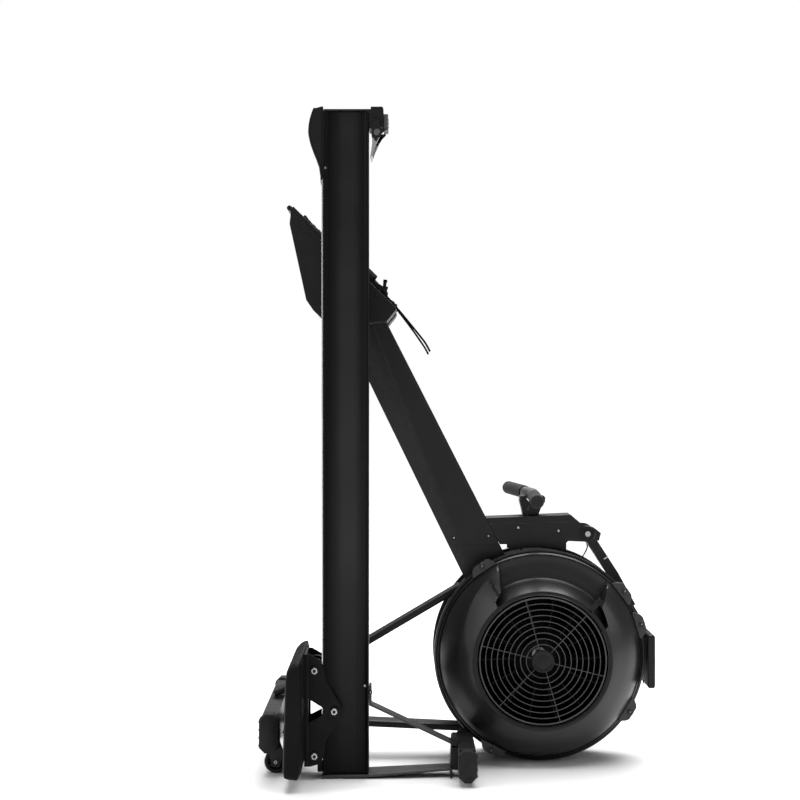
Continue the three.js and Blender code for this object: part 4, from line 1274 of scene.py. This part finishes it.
def top_guard():
    """A thin moulded shell over the rail's upper end, with a rolled rim."""
    refined("top_guard", "moulding", 2.8, 4)
    a, b = low("top_guard"), high("top_guard")
    bm = bmesh.new()
    # (share across, share up) along the outer edge of the shell
    edge = [(0.90, 0.02), (0.84, 0.12), (0.66, 0.25), (0.28, 0.42), (0.09, 0.55), (0.02, 0.66), (0.10, 0.80),
            (0.30, 0.93), (0.42, 0.975)]
    for y in (a.y - 0.2 * MM, b.y + 0.2 * MM):
        rim = smooth_path([Vector((a.x + (b.x - a.x) * u, y, a.z + (b.z - a.z) * v)) for u, v in edge], 6)
        sweep(bm, rim, circle(1.7 * MM, 8))
    add_piece("top_guard_rim", bm, RAIL, "moulding")
    bm = bmesh.new()  # the strip that seats the guard on the rail
    seat_side = low("monorail").x
    start = (seat_side - 5.5 * MM, a.y + 1.5 * MM, a.z + 1 * MM)
    block(bm, start, (seat_side - 0.2 * MM, b.y - 1.5 * MM, b.z - 8 * MM))
    add_piece("top_guard_seating", bm, RAIL, "moulding", bevel=0.6)
    bm = bmesh.new()  # the small spur at its lower tip
    tip = Vector((a.x + (b.x - a.x) * 0.86, RAIL_Y - 20 * MM, a.z + 6 * MM))
    rows = [[tip + Vector((u * k, v * k, -h)) * MM for u, v in ((-1.8, -2), (1.8, -2), (1.8, 2), (-1.8, 2))]
            for h, k in ((0, 1), (6, 0.85), (13, 0.45), (19, 0.12))]
    grid(bm, rows, close_row=True, caps=True)
    add_piece("top_guard_spur", bm, RAIL, "moulding")
    for y, axis in ((RAIL_NEAR, -Y), (2 * RAIL_Y - RAIL_NEAR, Y)):
        fastener(RAIL, (seat_side + 4.4 * MM, y, a.z + 22 * MM), axis, 2.6, 2.2)


def part_of(node, height, above):
    """The part of a CAD node above or below a height, closed again where it was cut."""
    bm = cad_mesh(node)
    geometry = [*bm.verts, *bm.edges, *bm.faces]
    bmesh.ops.bisect_plane(bm, geom=geometry, plane_co=(0, 0, height), plane_no=(0, 0, 1), clear_inner=above,
                           clear_outer=not above)
    bmesh.ops.holes_fill(bm, edges=[e for e in bm.edges if e.is_boundary])
    return bm


def lock():
    refined("lock_block", "moulding", 1.5, 3)
    refined("lock_pad", "grey", 0.8, 3)
    waist = low("lock_block").z - 19 * MM
    upper, lower = (part_of("lock_lever", waist, above) for above in (True, False))
    add_piece("lock_lever_cheeks", upper, "lock", "moulding", bevel=0.8)
    add_piece("lock_lever_tail", lower, "lock", "steel", "lock_lever", bevel=0.8)
    bm = bmesh.new()  # a light roller and a dark hooked tongue outside each of the lever's cheeks
    centre = Vector((middle("lock_lever").x + 1.5 * MM, RAIL_Y, high("lock_lever").z - 27 * MM))
    for start in (-38.8, 35.0):
        lathe(bm, centre, rounded_pin(7.2, start, start + 3.8, 1.2), Y, 32)
    add_piece("lock_roller", bm, "lock", "grey", sharp=40)
    bm = bmesh.new()
    hook = [(-12, -4), (-9, -10), (-4, -18), (-1, -19), (4, -10), (10, -3), (18, 5), (17, 8), (8, 7), (7, 1),
            (3, -6), (-4, -7), (-9, -2)]
    outline = [(centre.x + u * MM, centre.z + v * MM) for u, v in hook]
    for start in (-39.2, 35.0):
        prism(bm, fillet(outline, 1.0 * MM, 2), RAIL_Y + start * MM, RAIL_Y + (start + 4.2) * MM)
    add_piece("lock_tongue", bm, "lock", "moulding", bevel=0.7, segments=2)


# ---- seat ----


def flank_point(top, base, k):
    """The flank steps out near the outer face, then runs level to the base."""
    return Vector((top.x + (base.x - top.x) * k, top.y + (base.y - top.y) * k,
                   top.z + (base.z - top.z) * (1 - (1 - k) ** 2.4)))


def seat_shape():
    """The seat before it is upholstered: a firm slab with two hollows and a small rounded edge."""
    a, b = low("seat_pad"), high("seat_pad")
    wide, thick = b.y - a.y, b.x - a.x
    bm = bmesh.new()
    cols, rows_n, power = 60, 44, 16
    centre = (a + b) / 2
    # the outer face ends lower than the base does, and the base runs a little past it below
    face_low, face_high, base_low, base_high = a.z - 1 * MM, b.z - 24 * MM, a.z - 5 * MM, b.z - 7 * MM
    between = lambda start, end, v: start + (end - start) * (v + 1) / 2
    spread = lambda t: math.sin(t * math.pi / 2) * 0.35 + t * 0.65  # closer columns near the edges
    rows_top, rows_base = [], []
    for j in range(rows_n + 1):
        top, base = [], []
        for i in range(cols + 1):
            u, v = spread(-1 + 2 * i / cols), spread(-1 + 2 * j / rows_n)
            reach = (abs(u) ** power + abs(v) ** power) ** (1 / power) if (u or v) else 0
            square = max(abs(u), abs(v))
            k = square / reach if reach else 1
            y = centre.y + u * k * wide / 2
            lean = 7 * MM * (v + 1) / 2
            tuck = 5 * MM * max(0.0, -v - 0.8) / 0.2
            rim = max(0.0, (square - 0.95) / 0.05)
            dish = sum(math.exp(-((u - c) / 0.26) ** 2 - ((v - 0.05) / 0.5) ** 2) for c in (-0.36, 0.36))
            crown = 0.05 * (1 - u ** 6) * (1 - v ** 6)
            outer = a.x + thick * (0.05 + 0.04 * rim ** 2 + 0.14 * dish - crown) + lean
            top.append(Vector((outer, y, between(face_low, face_high, v * k))))
            base.append(Vector((b.x - thick * 0.04 * rim - tuck, y, between(base_low, base_high, v * k))))
        rows_top.append(top)
        rows_base.append(base)
    grid(bm, rows_top)
    grid(bm, rows_base)
    loop = lambda rows: rows[0] + [r[-1] for r in rows[1:]] + rows[-1][-2::-1] + [r[0] for r in rows[-2:0:-1]]
    ring = list(zip(loop(rows_top), loop(rows_base)))
    sides = [[flank_point(top, base, k) for top, base in ring] for k in (0, 0.08, 0.3, 0.6, 0.92, 1)]
    grid(bm, sides, close_row=True)
    bmesh.ops.remove_doubles(bm, verts=bm.verts, dist=1e-5)
    return bm


def stuff(ob, pressure, cap):
    """Inflates a closed pad a little by cloth simulation, no point moving further than cap."""
    scene = bpy.context.scene
    cloth = ob.modifiers.new("Cloth", "CLOTH")
    cloth.settings.use_pressure = True
    cloth.settings.uniform_pressure_force = pressure
    cloth.settings.tension_stiffness = 30
    cloth.settings.compression_stiffness = 30
    cloth.settings.bending_stiffness = 4
    cloth.settings.effector_weights.gravity = 0
    steps = 20
    cloth.point_cache.frame_start, cloth.point_cache.frame_end = 1, steps
    for step in range(1, steps + 1):
        scene.frame_set(step)
    depsgraph = bpy.context.evaluated_depsgraph_get()
    moved = ob.evaluated_get(depsgraph).to_mesh()
    places = [v.co.copy() for v in moved.vertices]
    ob.evaluated_get(depsgraph).to_mesh_clear()
    ob.modifiers.remove(cloth)
    for v, place in zip(ob.data.vertices, places):
        shift = place - v.co
        v.co += shift * min(1.0, cap / max(shift.length, 1e-9))
    scene.frame_set(1)


def seat_pad():
    bm = seat_shape()
    pad = add_piece("seat_cushion", bm, "seat", "seat", "seat_pad", sharp=180)
    stuff(pad, 2.0, 2.2 * MM)
    clamp_to_cad(pad, "seat_pad", 6 * MM)
    pad.modifiers.new("Surface", "SUBSURF").render_levels = 1
    a, b = low("seat_pad"), high("seat_pad")
    bm = bmesh.new()  # the moulded pan under the foam, with its rolled edge
    outline = rounded_rect(b.y - a.y - 14 * MM, b.z - a.z - 44 * MM, 20 * MM, 8)
    centre = (a + b) / 2
    rows = [[Vector((b.x + d * MM, centre.y + u * k, centre.z + v * k)) for u, v in outline]
            for d, k in ((-9, 1.012), (-4, 1.012), (-0.6, 1.0), (0.2, 0.97))]
    grid(bm, rows, close_row=True, caps=True)
    add_piece("seat_pan", bm, "seat", "moulding", sharp=50)


def clamp_to_cad(ob, node, proud):
    """Holds a soft piece inside its CAD box, apart from a small allowance."""
    a, b = low(node), high(node)
    for v in ob.data.vertices:
        for i in range(3):
            v.co[i] = min(max(v.co[i], a[i] - proud), b[i] + proud)


def seat_carriage():
    """The carriage with the bolt heads of its rollers, guards over the upper ones, and edge flanges."""
    refined("seat_carriage", "black", 1.3, 3)
    a, b = low("seat_carriage"), high("seat_carriage")
    near, far = low("upper_roller_set").y, high("upper_roller_set").y
    ends = [(middle(f"{which}_roller_set"), y, axis) for which in ("upper", "lower")
            for y, axis in ((near, -Y), (far, Y))]
    ends += [(middle("guide_roller_near"), low("guide_roller_near").y, -Y),
             (middle("guide_roller_far"), high("guide_roller_far").y, Y)]
    for spot, y, axis in ends:
        fastener("seat", at_y(spot, y) - axis * 0.6 * MM, axis, 7.2, 3.4, "hex")
    bm = bmesh.new()
    over = middle("upper_roller_set")
    turns = [math.radians(12 + 13 * i) for i in range(13)]
    arc = [over + Vector((math.cos(t), 0, math.sin(t))) * 18.4 * MM for t in turns]
    for y in (a.y + 8.5 * MM, b.y - 8.5 * MM):
        sweep(bm, [at_y(p, y) for p in arc], rounded_rect(15 * MM, 2.4 * MM, 1 * MM))
    add_piece("seat_roller_guards", bm, "seat", "moulding", sharp=50)
    bm = bmesh.new()
    for y in (a.y + 1.4 * MM, b.y - 1.4 * MM):
        path = [Vector((a.x + 6 * MM, y, b.z - 3 * MM)), Vector((a.x + 6 * MM, y, a.z + 3 * MM))]
        plank(bm, path, 4, 5, 1.2)
    add_piece("seat_carriage_flanges", bm, "seat", "black")


def roller_set(node, body):
    """Two grooved wheels with a bearing in each, on their axle bolt."""
    centre, r = middle(node), 13.6
    bm = bmesh.new()
    for start in (-35, 23):
        foot = centre + Y * start * MM
        wheel = [(6, 1), (r - 2, 0), (r - 0.5, 0.6), (r, 2), (r, 10), (r - 0.5, 11.4), (r - 2, 12), (6, 11)]
        lathe(bm, foot, wheel, Y, 48, closed=True)
        lathe(bm, foot, [(0, 2.4), (6.2, 2.4), (6.2, 9.6), (0, 9.6)], Y, 24)
        for i in range(6):
            a = math.tau * i / 6
            spot = foot + Vector((math.cos(a) * 9.2, -0.2, math.sin(a) * 9.2)) * MM
            lathe(bm, spot, [(0, 0), (1.5, 0.2), (1.5, 12.2), (0, 12.4)], Y, 10)
    lathe(bm, centre, rounded_pin(4, -49, 49, 0.6), Y, 20)
    add_piece(f"{node}_wheels", bm, body, "rubber", node, sharp=40)


def guide_roller(side, sign):
    """A disc that runs along the rail's flank, on its own pin."""
    node = f"guide_roller_{side}"
    centre = middle(node)
    inner = RAIL_Y + sign * 31.9 * MM
    near_y, far_y = sorted((RAIL_Y + sign * 37 * MM, inner))
    wide = (far_y - near_y) / MM
    disc = [(0, 0.4), (10, 0.4), (11.6, 0), (12.2, 0.7), (12.2, wide - 0.7), (11.6, wide), (10, wide - 0.4),
            (0, wide - 0.4)]
    bm = bmesh.new()
    lathe(bm, at_y(centre, near_y), disc, Y, 48)
    head_low, head_high = (low(node).y, inner) if sign < 0 else (inner, high(node).y)
    lathe(bm, at_y(centre, head_low), rounded_pin(4, 1, (head_high - head_low) / MM - 1, 0.5), Y, 20)
    add_piece(f"{node}_wheel", bm, f"guide_{side}", "rubber", node, sharp=40)


# ---- assembly ----


def build_front_section():
    near_cover()
    cover_lugs()
    far_cover()
    housing_band()
    wire_guard("near_guard_wires", low("near_grille").y + 7 * MM, 9, "near_grille")
    wire_guard("far_guard_wires", FAR_FACE - 3 * MM, 4, "far_grille")
    hub_caps()
    damper()
    fan()
    bearing("bearing_near")
    bearing("bearing_far")
    sprocket()
    chain()
    main_beam()
    handle_frame()
    handle_hook()
    front_legs()
    front_crossbar()
    for side, _ in SIDES:
        caster_wheel(side)
    for side, _ in SIDES:
        rubber_foot(f"front_foot_{side}", FRONT, low(f"front_foot_{side}").x)
    monitor_arm()
    monitor()
    sensor_wire()
    handle()
    footrests()


def build_rail_section():
    monorail()
    rail_legs()
    top_guard()
    lock()
    seat_pad()
    seat_carriage()
    roller_set("upper_roller_set", "upper_rollers")
    roller_set("lower_roller_set", "lower_rollers")
    for side, sign in SIDES:
        guide_roller(side, sign)


build_front_section()
build_rail_section()
finish_fasteners()

as_lists = lambda box: [[round(v, 6) for v in corner] for corner in box]
{"cad": as_lists(CAD_BOX), "visual": as_lists(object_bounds())}
